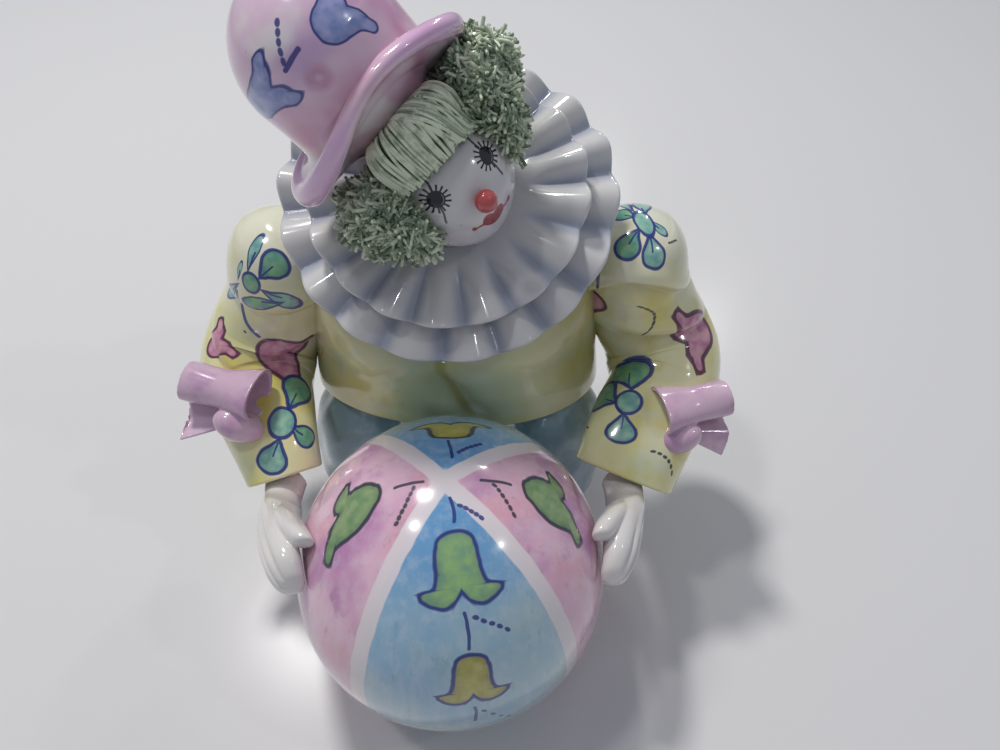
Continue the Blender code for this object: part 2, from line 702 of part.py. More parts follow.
def make_tuft(name, sign):
    """A bushy lump over the ear, thick in its middle and rounded to its edges."""
    bm = bmesh.new()
    across, down = 8, 8
    grids = []
    for skin in (0, 1):
        grid = []
        for j in range(down + 1):
            row = []
            for i in range(across + 1):
                u, v = i / across, j / down
                turn = math.radians(TUFT_TURNS[0] + (TUFT_TURNS[1] - TUFT_TURNS[0]) * u) * sign
                degrees = TUFT_POLARS[0] + (TUFT_POLARS[1] - TUFT_POLARS[0]) * v
                polar = math.radians(degrees)
                floor = HAIR_FLOOR + (CHIN_DROP - HEAD_HALF) * smoothstep(0.5, 0.9, v)
                round_off = (1 - abs(2 * u - 1) ** 3) ** 0.5 * (1 - abs(2 * v - 1) ** 4) ** 0.5
                lump = 1 + 0.10 * math.sin(9 * u + 4 * v) * math.cos(11 * v - 3 * u)
                height = (tuft_outer(sign, degrees) - floor) * (0.25 + 0.75 * round_off) * lump * skin
                under_brim = (BRIM_UNDER - 2 * SEAM_GAP) / max(math.cos(polar), 0.1)
                distance = min(floor + height, under_brim)
                row.append(bm.verts.new(polar_point(distance, polar, turn)))
            grid.append(row)
        grids.append(grid)
    for grid in grids:
        for j in range(down):
            for i in range(across):
                bm.faces.new((grid[j][i], grid[j][i + 1], grid[j + 1][i + 1], grid[j + 1][i]))
    low, high = grids
    border = [(0, i) for i in range(across)] + [(j, across) for j in range(down)]
    border += [(down, i) for i in range(across, 0, -1)] + [(j, 0) for j in range(down, 0, -1)]
    for (j, i), (q, p) in zip(border, border[1:] + border[:1]):
        bm.faces.new((low[j][i], low[q][p], high[q][p], high[j][i]))
    add_object(name, bm, "hair_clay")


# Hat: crown, hollow between crown and brim, rolled lip, flat underside and a shallow socket


def hat_profile():
    """Distance from the axis, height, and how much of the brim's flare each point takes."""
    points = []
    for step in range(5, 0, -1):
        angle = math.pi / 2 * step / 6
        points.append((CROWN_HALF * math.cos(angle), CROWN_MIDDLE + CROWN_HALF * math.sin(angle), 0))
    points.append((CROWN_HALF, CROWN_MIDDLE - 2 * FIG, 0))
    points.append((CROWN_HALF * 0.98, BRIM_UNDER + LIP_THICKNESS * 1.9, 0))
    points.append((CROWN_HALF * 0.93, BRIM_UNDER + LIP_THICKNESS * 1.1, 0.3))
    lip = BRIM_HALF - LIP_THICKNESS / 2
    points.append((lip - LIP_THICKNESS * 0.25, BRIM_UNDER + LIP_THICKNESS * 0.9, 0.8))
    for step in range(5):
        angle = math.pi / 2 - math.pi * step / 4
        points.append((lip + LIP_THICKNESS / 2 * math.cos(angle),
                       BRIM_UNDER + LIP_THICKNESS / 2 * (1 + math.sin(angle)), 1))
    points.append((SOCKET_HALF * 1.25, HAT_UNDER, 0))
    return points


def make_hat():
    count = 22
    rings = []
    for distance, height, flare in hat_profile():
        ring = []
        for index in range(count):
            turn = 2 * math.pi * index / count
            sideways = math.sin(turn) ** 2
            out = distance + flare * BRIM_FLARE * sideways
            rise = flare * BRIM_FRONT_RISE * max(math.cos(turn), 0) ** 2
            place = (out * math.sin(turn), -out * math.cos(turn), height + rise)
            ring.append(hat_place(place))
        rings.append(ring)
    for share in (1.0, 0.66, 0.33):
        out = SOCKET_HALF * share
        height = HAIR_TOP * math.sqrt(1 - (out / HAIR_HALF) ** 2) + SEAM_GAP * 1.5
        rings.append([
            hat_place((out * math.sin(2 * math.pi * index / count),
                       -out * math.cos(2 * math.pi * index / count), height))
            for index in range(count)
        ])
    bm = bmesh.new()
    rows = [[bm.verts.new(point) for point in ring] for ring in rings]
    for low, high in zip(rows, rows[1:]):
        for index in range(count):
            after = (index + 1) % count
            bm.faces.new((low[index], low[after], high[after], high[index]))
    for row, height in ((rows[0], CROWN_MIDDLE + CROWN_HALF), (rows[-1], HAIR_TOP + SEAM_GAP * 1.5)):
        middle = bm.verts.new(hat_place((0, 0, height)))
        for index in range(count):
            bm.faces.new((row[index], row[(index + 1) % count], middle))
    add_object("hat", bm, "pink_glaze")


make_ball()
make_trousers()
make_jacket()
jacket_tool = make_jacket_cutter()
for word, sign in (("left", -1), ("right", 1)):
    make_shoe("shoe_" + word, sign)
    make_sleeve("sleeve_" + word, sign, jacket_tool)
    make_hand("hand_" + word, sign)
    grown = loft(sleeve_rings(sign, SEAM_GAP))
    sleeve_tool = add_object("sleeve_" + word + "_clearance_tool", grown, None, CUTTERS)
    make_bow("bow_" + word, sign, sleeve_tool)
    make_tuft("hair_" + word, sign)
make_ruffs()
make_head()
make_nose()
make_hair_front()
make_hat()
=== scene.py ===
# %% [markdown]
# # A glazed ceramic clown holding a ball
# The figurine is hand-built clay: formed pieces are stuck together, fired, painted with thin
# coloured glazes and fired again under clear glaze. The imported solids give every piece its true
# place and size. This lesson makes each piece again with a fine surface and paints it.

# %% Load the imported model
import math

import bmesh
import bpy
import numpy as np
from mathutils import Euler, Matrix, Vector
from mathutils.bvhtree import BVHTree


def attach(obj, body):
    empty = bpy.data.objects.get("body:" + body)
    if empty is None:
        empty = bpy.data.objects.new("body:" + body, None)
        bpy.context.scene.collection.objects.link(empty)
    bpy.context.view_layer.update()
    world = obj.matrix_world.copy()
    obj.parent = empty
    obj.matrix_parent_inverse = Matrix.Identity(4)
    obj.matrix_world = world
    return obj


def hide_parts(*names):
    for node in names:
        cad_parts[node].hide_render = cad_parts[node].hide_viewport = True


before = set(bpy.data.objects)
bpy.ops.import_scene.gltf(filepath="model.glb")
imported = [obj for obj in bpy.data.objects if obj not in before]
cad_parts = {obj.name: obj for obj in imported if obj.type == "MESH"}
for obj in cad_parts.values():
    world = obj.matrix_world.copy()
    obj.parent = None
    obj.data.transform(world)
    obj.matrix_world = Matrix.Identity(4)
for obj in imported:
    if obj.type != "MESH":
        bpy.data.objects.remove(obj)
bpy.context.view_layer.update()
MM = 0.001

# %% [markdown]
# The camera comes first, because the painted ornaments are placed by where the photograph shows
# them. The ball is a sphere, so its outline told where the camera stood: it looks down at 48
# degrees over the ball. `pixel_ray` gives the line of sight through a point of the 1000 x 750
# picture.

# %% Camera
FOCAL_PIXELS = 770
PICTURE = (1000, 750)
LOOK_DOWN = math.radians(48)
lens = bpy.data.cameras.new("camera")
lens.sensor_width = 36
lens.lens = FOCAL_PIXELS / PICTURE[0] * lens.sensor_width
lens.clip_start = 0.01
camera = bpy.data.objects.new("camera", lens)
camera.location = (0.0175, -0.1356, 0.3083)
camera.rotation_euler = (math.pi / 2 - LOOK_DOWN, 0, 0)
bpy.context.scene.collection.objects.link(camera)
bpy.context.scene.camera = camera
SIGHT = Euler(camera.rotation_euler).to_matrix()


def pixel_ray(x, y):
    across = (x - PICTURE[0] / 2) / FOCAL_PIXELS
    down = (y - PICTURE[1] / 2) / FOCAL_PIXELS
    return (SIGHT @ Vector((across, -down, -1))).normalized()


print("camera at", [round(v, 3) for v in camera.location])

# %% [markdown]
# Most pieces are lofts: rings of points, skinned with four-sided faces. numpy keeps the fine
# rings quick to compute. `settle` is the last step of every piece: it hides the solids that the
# piece stands for and lets it ride on the body.

# %% Mesh helpers
GAP = 0.3 * MM


def mesh_object(name, points, faces):
    mesh = bpy.data.meshes.new(name)
    mesh.from_pydata([tuple(p) for p in points], [], faces)
    made = bpy.data.objects.new(name, mesh)
    bpy.context.scene.collection.objects.link(made)
    bm = bmesh.new()
    bm.from_mesh(mesh)
    bmesh.ops.recalc_face_normals(bm, faces=bm.faces)
    bm.to_mesh(mesh)
    bm.free()
    mesh.shade_smooth()
    return made


def ring_faces(rows, count, loop=False):
    faces = []
    for row in range(rows if loop else rows - 1):
        above = (row + 1) % rows
        for index in range(count):
            after = (index + 1) % count
            faces.append((row * count + index, row * count + after,
                          above * count + after, above * count + index))
    return faces


def loft(name, rings, loop=False):
    """Skin rings (rows, points, xyz). Open ends get a fan; loop joins the last ring to the first."""
    rings = np.asarray(rings, dtype=float)
    rows, count = rings.shape[:2]
    points = rings.reshape(-1, 3)
    faces = ring_faces(rows, count, loop)
    if not loop:
        tips = np.array([rings[0].mean(axis=0), rings[-1].mean(axis=0)])
        points = np.concatenate([points, tips])
        for row, tip in ((0, len(points) - 2), (rows - 1, len(points) - 1)):
            for index in range(count):
                faces.append((row * count + index, row * count + (index + 1) % count, tip))
    return mesh_object(name, points, faces)


def turns(count):
    return np.arange(count) * 2 * math.pi / count


def superellipse(angle, half_x, half_y, power=2.0):
    c, s = np.cos(angle), np.sin(angle)
    x = np.sign(c) * np.abs(c) ** (2 / power) * half_x
    y = np.sign(s) * np.abs(s) ** (2 / power) * half_y
    return x, y


def blend_rows(rows, steps):
    """Catmull-Rom curve through rows of numbers, with steps points to each span."""
    rows = np.asarray(rows, dtype=float)
    ends = np.concatenate([rows[:1], rows, rows[-1:]])
    result = []
    for a, b, c, d in zip(ends, ends[1:], ends[2:], ends[3:]):
        for t in np.arange(steps) / steps:
            result.append(0.5 * (2 * b + (c - a) * t + (2 * a - 5 * b + 4 * c - d) * t * t
                                 + (3 * b - a - 3 * c + d) * t ** 3))
    result.append(rows[-1])
    return np.array(result)


def smoothstep(low, high, value):
    share = np.clip((value - low) / (high - low), 0, 1)
    return share * share * (3 - 2 * share)


def settle(piece, slot, *nodes):
    if nodes:
        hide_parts(*nodes)
    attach(piece, "root")
    triangles = sum(len(face.vertices) - 2 for face in piece.data.polygons)
    print(piece.name, triangles, "triangles")
    return piece


def tree_of(piece):
    """A search tree of the finished surface, for placing paint on it."""
    return BVHTree.FromObject(piece, bpy.context.evaluated_depsgraph_get())


# %% [markdown]
# Node trees are long to write by hand. `Wire` stands for one value in a tree: adding or
# multiplying wires adds Math nodes, so a formula reads as it does on paper. It serves both the
# paint and the Geometry Nodes.

# %% Formulas in node trees


def put(tree, socket, value):
    if isinstance(value, Wire):
        tree.links.new(value.socket, socket)
    else:
        socket.default_value = value


class Wire:
    def __init__(self, tree, socket):
        self.tree = tree
        self.socket = socket

    def math(self, operation, *values):
        node = self.tree.nodes.new("ShaderNodeMath")
        node.operation = operation
        for socket, value in zip(node.inputs, values):
            put(self.tree, socket, value)
        return Wire(self.tree, node.outputs[0])

    def __add__(self, other):
        return self.math("ADD", self, other)

    def __radd__(self, other):
        return self.math("ADD", other, self)

    def __sub__(self, other):
        return self.math("SUBTRACT", self, other)

    def __rsub__(self, other):
        return self.math("SUBTRACT", other, self)

    def __mul__(self, other):
        return self.math("MULTIPLY", self, other)

    def __rmul__(self, other):
        return self.math("MULTIPLY", other, self)

    def __truediv__(self, other):
        return self.math("DIVIDE", self, other)

    def __rtruediv__(self, other):
        return self.math("DIVIDE", other, self)

    def power(self, other):
        return self.math("POWER", self, other)

    def sin(self):
        return self.math("SINE", self)

    def cos(self):
        return self.math("COSINE", self)

    def abs(self):
        return self.math("ABSOLUTE", self)

    def sqrt(self):
        return self.math("SQRT", self)

    def fraction(self):
        return self.math("FRACT", self)

    def least(self, other):
        return self.math("MINIMUM", self, other)

    def most(self, other):
        return self.math("MAXIMUM", self, other)

    def above(self, other):
        return self.math("GREATER_THAN", self, other)

    def ramp(self, low, high):
        """0 below low, 1 above high, smooth between; falls when low is above high."""
        node = self.tree.nodes.new("ShaderNodeMapRange")
        node.interpolation_type = "SMOOTHSTEP"
        rising = low < high
        put(self.tree, node.inputs["Value"], self)
        node.inputs["From Min"].default_value = low if rising else high
        node.inputs["From Max"].default_value = high if rising else low
        node.inputs["To Min"].default_value = 0 if rising else 1
        node.inputs["To Max"].default_value = 1 if rising else 0
        return Wire(self.tree, node.outputs[0])


def split(tree, vector):
    node = tree.nodes.new("ShaderNodeSeparateXYZ")
    put(tree, node.inputs[0], vector)
    return [Wire(tree, output) for output in node.outputs]


def join(tree, x, y, z):
    node = tree.nodes.new("ShaderNodeCombineXYZ")
    for socket, value in zip(node.inputs, (x, y, z)):
        put(tree, socket, value)
    return Wire(tree, node.outputs[0])


def noise(tree, place, scale, detail=3.0, rough=0.5, stretch=None):
    """Cloudy variation from 0 to 1; scale is in features per metre on Object coordinates."""
    if stretch:
        node = tree.nodes.new("ShaderNodeMapping")
        put(tree, node.inputs["Vector"], place)
        node.inputs["Scale"].default_value = stretch
        place = Wire(tree, node.outputs[0])
    node = tree.nodes.new("ShaderNodeTexNoise")
    put(tree, node.inputs["Vector"], place)
    node.inputs["Scale"].default_value = scale
    node.inputs["Detail"].default_value = detail
    node.inputs["Roughness"].default_value = rough
    return Wire(tree, node.outputs[0])


print("node helpers ready")

# %% [markdown]
# Painted shapes. A bell, a tulip and a petal are closed outlines: at each angle round a point
# inside them the brush passes at some distance, which a Float Curve holds. The group gives two masks,
# the filled shape and the line round it. The slope of the curve keeps the line equally wide where
# it runs away from the middle.

# %% Closed painted outlines
OUTLINES = {
    # how far below the middle its own centre is, then degrees round from the top and distance
    # from that centre, where the half height is 1; a shape with equal sides gives one side
    "bell": (0.48, ((0, 1.47), (14, 1.43), (26, 1.22), (45, 0.86), (60, 0.73), (78, 0.70), (88, 0.80),
                    (95, 1.12), (106, 1.04), (120, 0.88), (134, 0.72), (148, 0.50), (164, 0.22),
                    (180, 0.12))),
    "tulip": (0.66, ((-180, 0.30), (-160, 0.50), (-127, 0.65), (-108, 0.73), (-90, 0.85), (-77, 0.96),
                     (-62, 0.60), (-41, 0.80), (-27, 1.12), (-13, 1.42), (-1, 1.60), (9, 1.55),
                     (20, 1.38), (38, 1.22), (57, 1.10), (81, 1.03), (102, 1.06), (121, 1.25),
                     (133, 1.78), (144, 1.20), (155, 0.66), (166, 0.34), (180, 0.30))),
    "blossom": (0.66, ((0, 1.52), (22, 1.46), (45, 1.24), (66, 1.06), (84, 1.06), (98, 1.32), (110, 1.72),
                       (124, 1.18), (142, 0.74), (160, 0.44), (180, 0.32))),
    "petal": (0.0, ((0, 1.00), (20, 1.00), (42, 1.00), (66, 0.94), (92, 0.80), (120, 0.68), (145, 0.68),
                    (165, 0.82), (180, 1.05))),
    "oval": (0.0, ((0, 1.0), (90, 1.0), (180, 1.0))),
}


def outline_group(name):
    group = bpy.data.node_groups.new("painted_" + name, "ShaderNodeTree")
    group.interface.new_socket("Place", in_out="INPUT", socket_type="NodeSocketVector")
    group.interface.new_socket("Line Width", in_out="INPUT", socket_type="NodeSocketFloat")
    for output in ("Fill", "Line", "Inside"):
        group.interface.new_socket(output, in_out="OUTPUT", socket_type="NodeSocketFloat")
    start = group.nodes.new("NodeGroupInput")
    end = group.nodes.new("NodeGroupOutput")
    lower, rows = OUTLINES[name]
    if rows[0][0] == 0:
        rows = [(-degrees, far) for degrees, far in rows[:0:-1]] + list(rows)
    x, y, z = split(group, Wire(group, start.outputs["Place"]))
    y = y + lower
    reach = (x * x + y * y).sqrt()
    share = x.math("ARCTAN2", x, y) / (2 * math.pi) + 0.5

    def distance(at):
        node = group.nodes.new("ShaderNodeFloatCurve")
        curve = node.mapping.curves[0]
        while len(curve.points) < len(rows):
            curve.points.new(0.5, 0.5)
        for point, (degrees, far) in zip(curve.points, rows):
            point.location = (degrees / 360 + 0.5, far / 2)
            point.handle_type = "AUTO"
        node.mapping.update()
        put(group, node.inputs["Value"], at)
        return Wire(group, node.outputs[0]) * 2

    step = 0.006
    slope = (distance(share + step) - distance(share - step)) / (4 * step * math.pi)
    edge = distance(share)
    steep = slope / edge.most(0.15)
    away = (reach - edge) / (steep * steep + 1).sqrt()
    near = z.abs().ramp(1.5, 1.1)
    width = Wire(group, start.outputs["Line Width"])
    line = (width - away.abs()) / 0.045 + 0.5
    put(group, end.inputs["Fill"], away.ramp(0.03, -0.03) * near)
    put(group, end.inputs["Line"], line.most(0).least(1) * near)
    put(group, end.inputs["Inside"], away)
    return group


outline_groups = {name: outline_group(name) for name in OUTLINES}
print("painted outlines", sorted(outline_groups))

# %% [markdown]
# Brush strokes: a line along the local Y direction from -1 to 1, which may bend, taper, or break
# into a row of dots. One group draws all of them.

# %% Brush strokes


def stroke_group():
    group = bpy.data.node_groups.new("brush_stroke", "ShaderNodeTree")
    group.interface.new_socket("Place", in_out="INPUT", socket_type="NodeSocketVector")
    for name in ("Width", "Bend", "Dots"):
        group.interface.new_socket(name, in_out="INPUT", socket_type="NodeSocketFloat")
    group.interface.new_socket("Line", in_out="OUTPUT", socket_type="NodeSocketFloat")
    start = group.nodes.new("NodeGroupInput")
    end = group.nodes.new("NodeGroupOutput")
    x, y, z = split(group, Wire(group, start.outputs["Place"]))
    width = Wire(group, start.outputs["Width"])
    bend = Wire(group, start.outputs["Bend"])
    dots = Wire(group, start.outputs["Dots"])
    side = x - bend * (1 - y * y)
    past = (y.abs() - 1).most(0)
    solid = (side * side + past * past).sqrt()
    step = 2 / dots.most(1)
    along = (((y + 1) / step).fraction() - 0.5) * step
    past_dots = (y.abs() - 1).above(0) * 9
    dotted = ((side * side + along * along * 0.45).sqrt() + past_dots)
    is_dotted = dots.above(0.5)
    far = solid + (dotted - solid) * is_dotted
    near = z.abs().ramp(1.5, 1.1)
    put(group, end.inputs["Line"], ((width - far) / (width * 0.35) + 0.5).most(0).least(1) * near)
    return group


brush_stroke = stroke_group()
print("brush strokes ready")

# %% [markdown]
# A glaze has three looks to it: the colour under the clear coat, which is cloudy and brushed; the
# clear coat, nearly mirror smooth but faintly wavy; and small dark specks. `Glaze` starts with a
# ground colour, `lay` and `cloud` put paint over it, and `finish` adds the specks and the waves.

# %% The glaze material
TREMBLE = 0.35 * MM
CLEAR_COAT_IOR = 1.5


def tone(red, green, blue):
    """A colour as a picture shows it (0 to 255), turned into linear light for the shader."""
    values = [v / 255 for v in (red, green, blue)]
    linear = [v / 12.92 if v <= 0.04045 else ((v + 0.055) / 1.055) ** 2.4 for v in values]
    return (*linear, 1)


class Glaze:
    def __init__(self, name, ground, roughness=0.16, coat=0.8, wave=0.10, speck=0.5):
        self.material = bpy.data.materials.new(name)
        self.material.use_nodes = True
        self.tree = self.material.node_tree
        self.shader = self.tree.nodes["Principled BSDF"]
        self.shader.inputs["Coat Weight"].default_value = coat
        self.shader.inputs["Coat Roughness"].default_value = 0.04
        self.shader.inputs["IOR"].default_value = CLEAR_COAT_IOR
        coordinates = self.tree.nodes.new("ShaderNodeTexCoord")
        self.place = Wire(self.tree, coordinates.outputs["Object"])
        self.wobble = self.shaken(TREMBLE)
        self.colour = ground
        self.wave = wave
        self.speck = speck
        self.roughness = roughness

    def shaken(self, amount):
        """Object coordinates with a slight tremble, so that painted lines aren't ruled."""
        node = self.tree.nodes.new("ShaderNodeTexNoise")
        put(self.tree, node.inputs["Vector"], self.place)
        node.inputs["Scale"].default_value = 160
        node.inputs["Detail"].default_value = 1.5
        middle = self.tree.nodes.new("ShaderNodeVectorMath")
        middle.operation = "SUBTRACT"
        put(self.tree, middle.inputs[0], Wire(self.tree, node.outputs["Color"]))
        middle.inputs[1].default_value = (0.5, 0.5, 0.5)
        scaled = self.tree.nodes.new("ShaderNodeVectorMath")
        scaled.operation = "MULTIPLY_ADD"
        put(self.tree, scaled.inputs[0], Wire(self.tree, middle.outputs[0]))
        scaled.inputs[1].default_value = (amount * 3,) * 3
        put(self.tree, scaled.inputs[2], self.place)
        return Wire(self.tree, scaled.outputs[0])

    def lay(self, colour, mask):
        """Lay a colour over what is there, as far as the mask says."""
        node = self.tree.nodes.new("ShaderNodeMix")
        node.data_type = "RGBA"
        put(self.tree, node.inputs[0], mask)
        put(self.tree, node.inputs[6], self.colour)
        put(self.tree, node.inputs[7], colour)
        self.colour = Wire(self.tree, node.outputs[2])

    def cloud(self, colour, scale, low, high, strength=1.0, stretch=None):
        """Lay a colour in clouds, where a noise passes from low to high."""
        mask = noise(self.tree, self.place, scale, 3.0, 0.55, stretch).ramp(low, high)
        self.lay(colour, mask * strength)

    def spot(self, location, turn, size):
        """Coordinates of a flat patch that touches the surface at a place."""
        node = self.tree.nodes.new("ShaderNodeMapping")
        node.vector_type = "TEXTURE"
        node.inputs["Location"].default_value = location
        node.inputs["Rotation"].default_value = turn
        node.inputs["Scale"].default_value = size
        put(self.tree, node.inputs["Vector"], self.wobble)
        return Wire(self.tree, node.outputs[0])

    def finish(self):
        specks = noise(self.tree, self.place, 420, 1.0).ramp(0.80, 0.86)
        self.lay(tone(92, 84, 74), specks * self.speck)
        put(self.tree, self.shader.inputs["Base Color"], self.colour)
        slow = noise(self.tree, self.place, 45, 1.5)
        fine = noise(self.tree, self.place, 900, 2.0)
        bump = self.tree.nodes.new("ShaderNodeBump")
        bump.inputs["Strength"].default_value = self.wave
        bump.inputs["Distance"].default_value = 0.002
        put(self.tree, bump.inputs["Height"], slow + fine * 0.012)
        put(self.tree, self.shader.inputs["Normal"], Wire(self.tree, bump.outputs[0]))
        gloss = noise(self.tree, self.place, 70, 2.0) * 0.10 + (self.roughness - 0.05)
        put(self.tree, self.shader.inputs["Roughness"], gloss)
        return self.material


print("glaze helper ready")

# %% [markdown]
# `Brush` places one ornament: the pixels of its base and of its tip are cast onto the finished
# piece, which gives its middle, its size and how the surface lies there. The paint is then
# projected from that flat patch, and fades out before it reaches another side of the piece. This
# way no piece needs an unwrapped map, and an ornament keeps its true size on a curved piece.

# %% Placing painted ornaments
INK_BLUE = tone(40, 52, 128)
INK_DARK = tone(48, 52, 66)
INK_PLUM = tone(92, 38, 70)


class Brush:
    def __init__(self, glaze, piece):
        self.glaze = glaze
        self.surface = tree_of(piece)

    def hit(self, pixel):
        """The seen point at a pixel, or the piece's nearest point if the line of sight just misses."""
        sight = pixel_ray(*pixel)
        spot, normal, _, _ = self.surface.ray_cast(camera.location, sight)
        if spot is None:
            beside = [self.surface.find_nearest(camera.location + sight * far * MM)
                      for far in range(180, 480, 2)]
            spot, normal, _, _ = min(beside, key=lambda found: found[3])
        return spot, normal

    def patch(self, base, tip, width):
        """Location, turn and half sizes of the patch between two seen points.

        A negative width mirrors the shape.
        """
        (low, normal_low), (high, normal_high) = self.hit(base), self.hit(tip)
        up = (high - low).normalized()
        outwards = normal_low + normal_high
        outwards = (outwards - up * outwards.dot(up)).normalized()
        side = up.cross(outwards)
        turn = Matrix((side, up, outwards)).transposed().to_euler()
        half = (high - low).length / 2
        middle = (low + high) / 2
        spot, _, _, _ = self.surface.find_nearest(middle)
        return spot, turn, (half * width, half, half * max(1.0, abs(width)))

    def seen_shape(self, kind, base, tip, width, fill, ink, line):
        """A closed shape, filled with two washes and outlined; line is a share of its height."""
        place = self.glaze.spot(*self.patch(base, tip, width))
        node = self.glaze.tree.nodes.new("ShaderNodeGroup")
        node.node_tree = outline_groups[kind]
        put(self.glaze.tree, node.inputs["Place"], place)
        node.inputs["Line Width"].default_value = line
        inside = Wire(self.glaze.tree, node.outputs["Inside"])
        filled = Wire(self.glaze.tree, node.outputs["Fill"])
        wash = noise(self.glaze.tree, self.glaze.place, 260, 2.0).ramp(0.3, 0.75)
        self.glaze.lay(fill[0], filled * 0.9)
        self.glaze.lay(fill[1], filled * wash * 0.9)
        self.glaze.lay(ink, filled * inside.ramp(-0.35, 0.0) * 0.28)
        self.glaze.lay(ink, Wire(self.glaze.tree, node.outputs["Line"]) * 0.95)

    def seen_stroke(self, base, tip, ink, thick, bend=0.0, dots=0):
        """A stroke of a real thickness, in millimetres, between two seen points."""
        location, turn, size = self.patch(base, tip, 1.0)
        node = self.glaze.tree.nodes.new("ShaderNodeGroup")
        node.node_tree = brush_stroke
        put(self.glaze.tree, node.inputs["Place"], self.glaze.spot(location, turn, size))
        node.inputs["Width"].default_value = thick * MM / 2 / size[1]
        node.inputs["Bend"].default_value = bend
        node.inputs["Dots"].default_value = dots
        self.glaze.lay(ink, Wire(self.glaze.tree, node.outputs["Line"]) * 0.92)


LEAF = (tone(122, 182, 128), tone(84, 152, 140))
LEAF_DULL = (tone(134, 168, 104), tone(104, 142, 96))
TEAL = (tone(150, 200, 176), tone(98, 160, 160))
PLUM = (tone(222, 164, 180), tone(186, 104, 150))
BELL_GREEN = (tone(148, 186, 102), tone(118, 160, 128))
BELL_YELLOW = (tone(196, 186, 84), tone(168, 162, 76))
TULIP_BLUE = (tone(164, 172, 218), tone(108, 132, 190))
print("brushes ready")

# %% [markdown]
# ## The ball
# A thrown hollow sphere, a little uneven from the hand, with a small flat to stand on. A sphere is
# the plainest loft: rings from the top to the bottom, with a small rule that makes them uneven.
# Points below the floor are lifted to it, which gives the flat.

# %% Ball shape
BALL_RADIUS = 55 * MM
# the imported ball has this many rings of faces, and its flat is as wide as the lowest of them
PACKED_RINGS = 16
BALL_CENTRE = Vector((0, 0, BALL_RADIUS * math.cos(math.pi / PACKED_RINGS)))


def ball_rings(rows=150, count=240):
    polar = np.linspace(0.004, math.pi - 0.004, rows)[:, None]
    angle = turns(count)[None, :]
    uneven = 1 - 0.0035 * (1 + np.sin(2 * angle + 3 * np.cos(polar)) * np.sin(polar))
    radius = BALL_RADIUS * uneven
    x = radius * np.sin(polar) * np.cos(angle)
    y = radius * np.sin(polar) * np.sin(angle)
    z = np.maximum(BALL_CENTRE.z + radius * np.cos(polar), 0)
    return np.stack([x, y, z + 0 * angle], axis=-1)


ball = settle(loft("ball_thrown", ball_rings()), "ball_glaze", "ball")

# %% [markdown]
# The ball's paint goes on as a painter lays it: cloudy washes, pink over the side segments, dry
# streaks, four white stripes, and the flowers and sprigs last. A stripe follows a plane through
# the ball's axis, so its formula only asks how far a point is from that plane. `decorate` reads
# the ornaments from a table: each row tells the pixels where an ornament starts and ends.

# %% Ball paint
# where each stripe runs, in degrees from the front towards the right
STRIPES = (-30.5, 48.5, 129.0, 223.0)
STRIPE_HALF = 2.8 * MM
SPRIG_THICK = 1.1
DOTS_THICK = 1.4
SPRIG_BEND = -0.06
BALL_FLOWERS = (
    # shape, pixels of its base and tip, width, colours, ink, width of the line
    ("bell", (463.5, 607), (453, 531), 1.0, BELL_GREEN, INK_BLUE, 0.055),
    ("bell", (474, 703), (470, 655), 1.0, BELL_YELLOW, INK_BLUE, 0.065),
    ("bell", (450.5, 422), (451.5, 438), 1.85, BELL_YELLOW, INK_DARK, 0.07),
    ("tulip", (337, 515), (382, 490), 1.15, LEAF_DULL, INK_DARK, 0.07),
    ("tulip", (563, 500), (522, 487), -1.2, LEAF_DULL, INK_DARK, 0.07),
)
BALL_SPRIGS = (
    # pixels of its two ends, ink, number of dots or 0 for a line
    ((450.5, 497.6), (454.2, 522), INK_BLUE, 0), ((457, 504), (484, 519.7), INK_BLUE, 5),
    ((480.5, 480.3), (510.8, 484.2), INK_DARK, 0), ((491.7, 482.4), (515.2, 517.8), INK_DARK, 6),
    ((394.6, 488.3), (423, 482), INK_DARK, 0), ((414.7, 485.7), (394.6, 526.5), INK_DARK, 7),
    ((448.4, 440.8), (451.6, 456.8), INK_BLUE, 0), ((457, 453), (482, 444), INK_BLUE, 6),
    ((464.6, 613.7), (469.6, 649.5), INK_BLUE, 0), ((471, 617), (510.8, 631), INK_BLUE, 5),
    ((474.8, 707.6), (475.7, 720.6), INK_BLUE, 0), ((478.7, 709), (522, 713), INK_BLUE, 6),
)


def veined_petal(brush, base, tip, width, fill):
    """A petal with a short vein up its middle."""
    brush.seen_shape("petal", base, tip, width, fill, INK_BLUE, 0.10)
    vein = ((base[0] * 0.9 + tip[0] * 0.1, base[1] * 0.9 + tip[1] * 0.1),
            ((base[0] + tip[0]) / 2, (base[1] + tip[1]) / 2))
    brush.seen_stroke(vein[0], vein[1], INK_BLUE, 0.7)


def decorate(brush, rows):
    for kind, base, tip, *looks in rows:
        if kind == "veined petal":
            veined_petal(brush, base, tip, *looks)
        elif kind == "stroke":
            brush.seen_stroke(base, tip, *looks)
        else:
            brush.seen_shape(kind, base, tip, *looks)


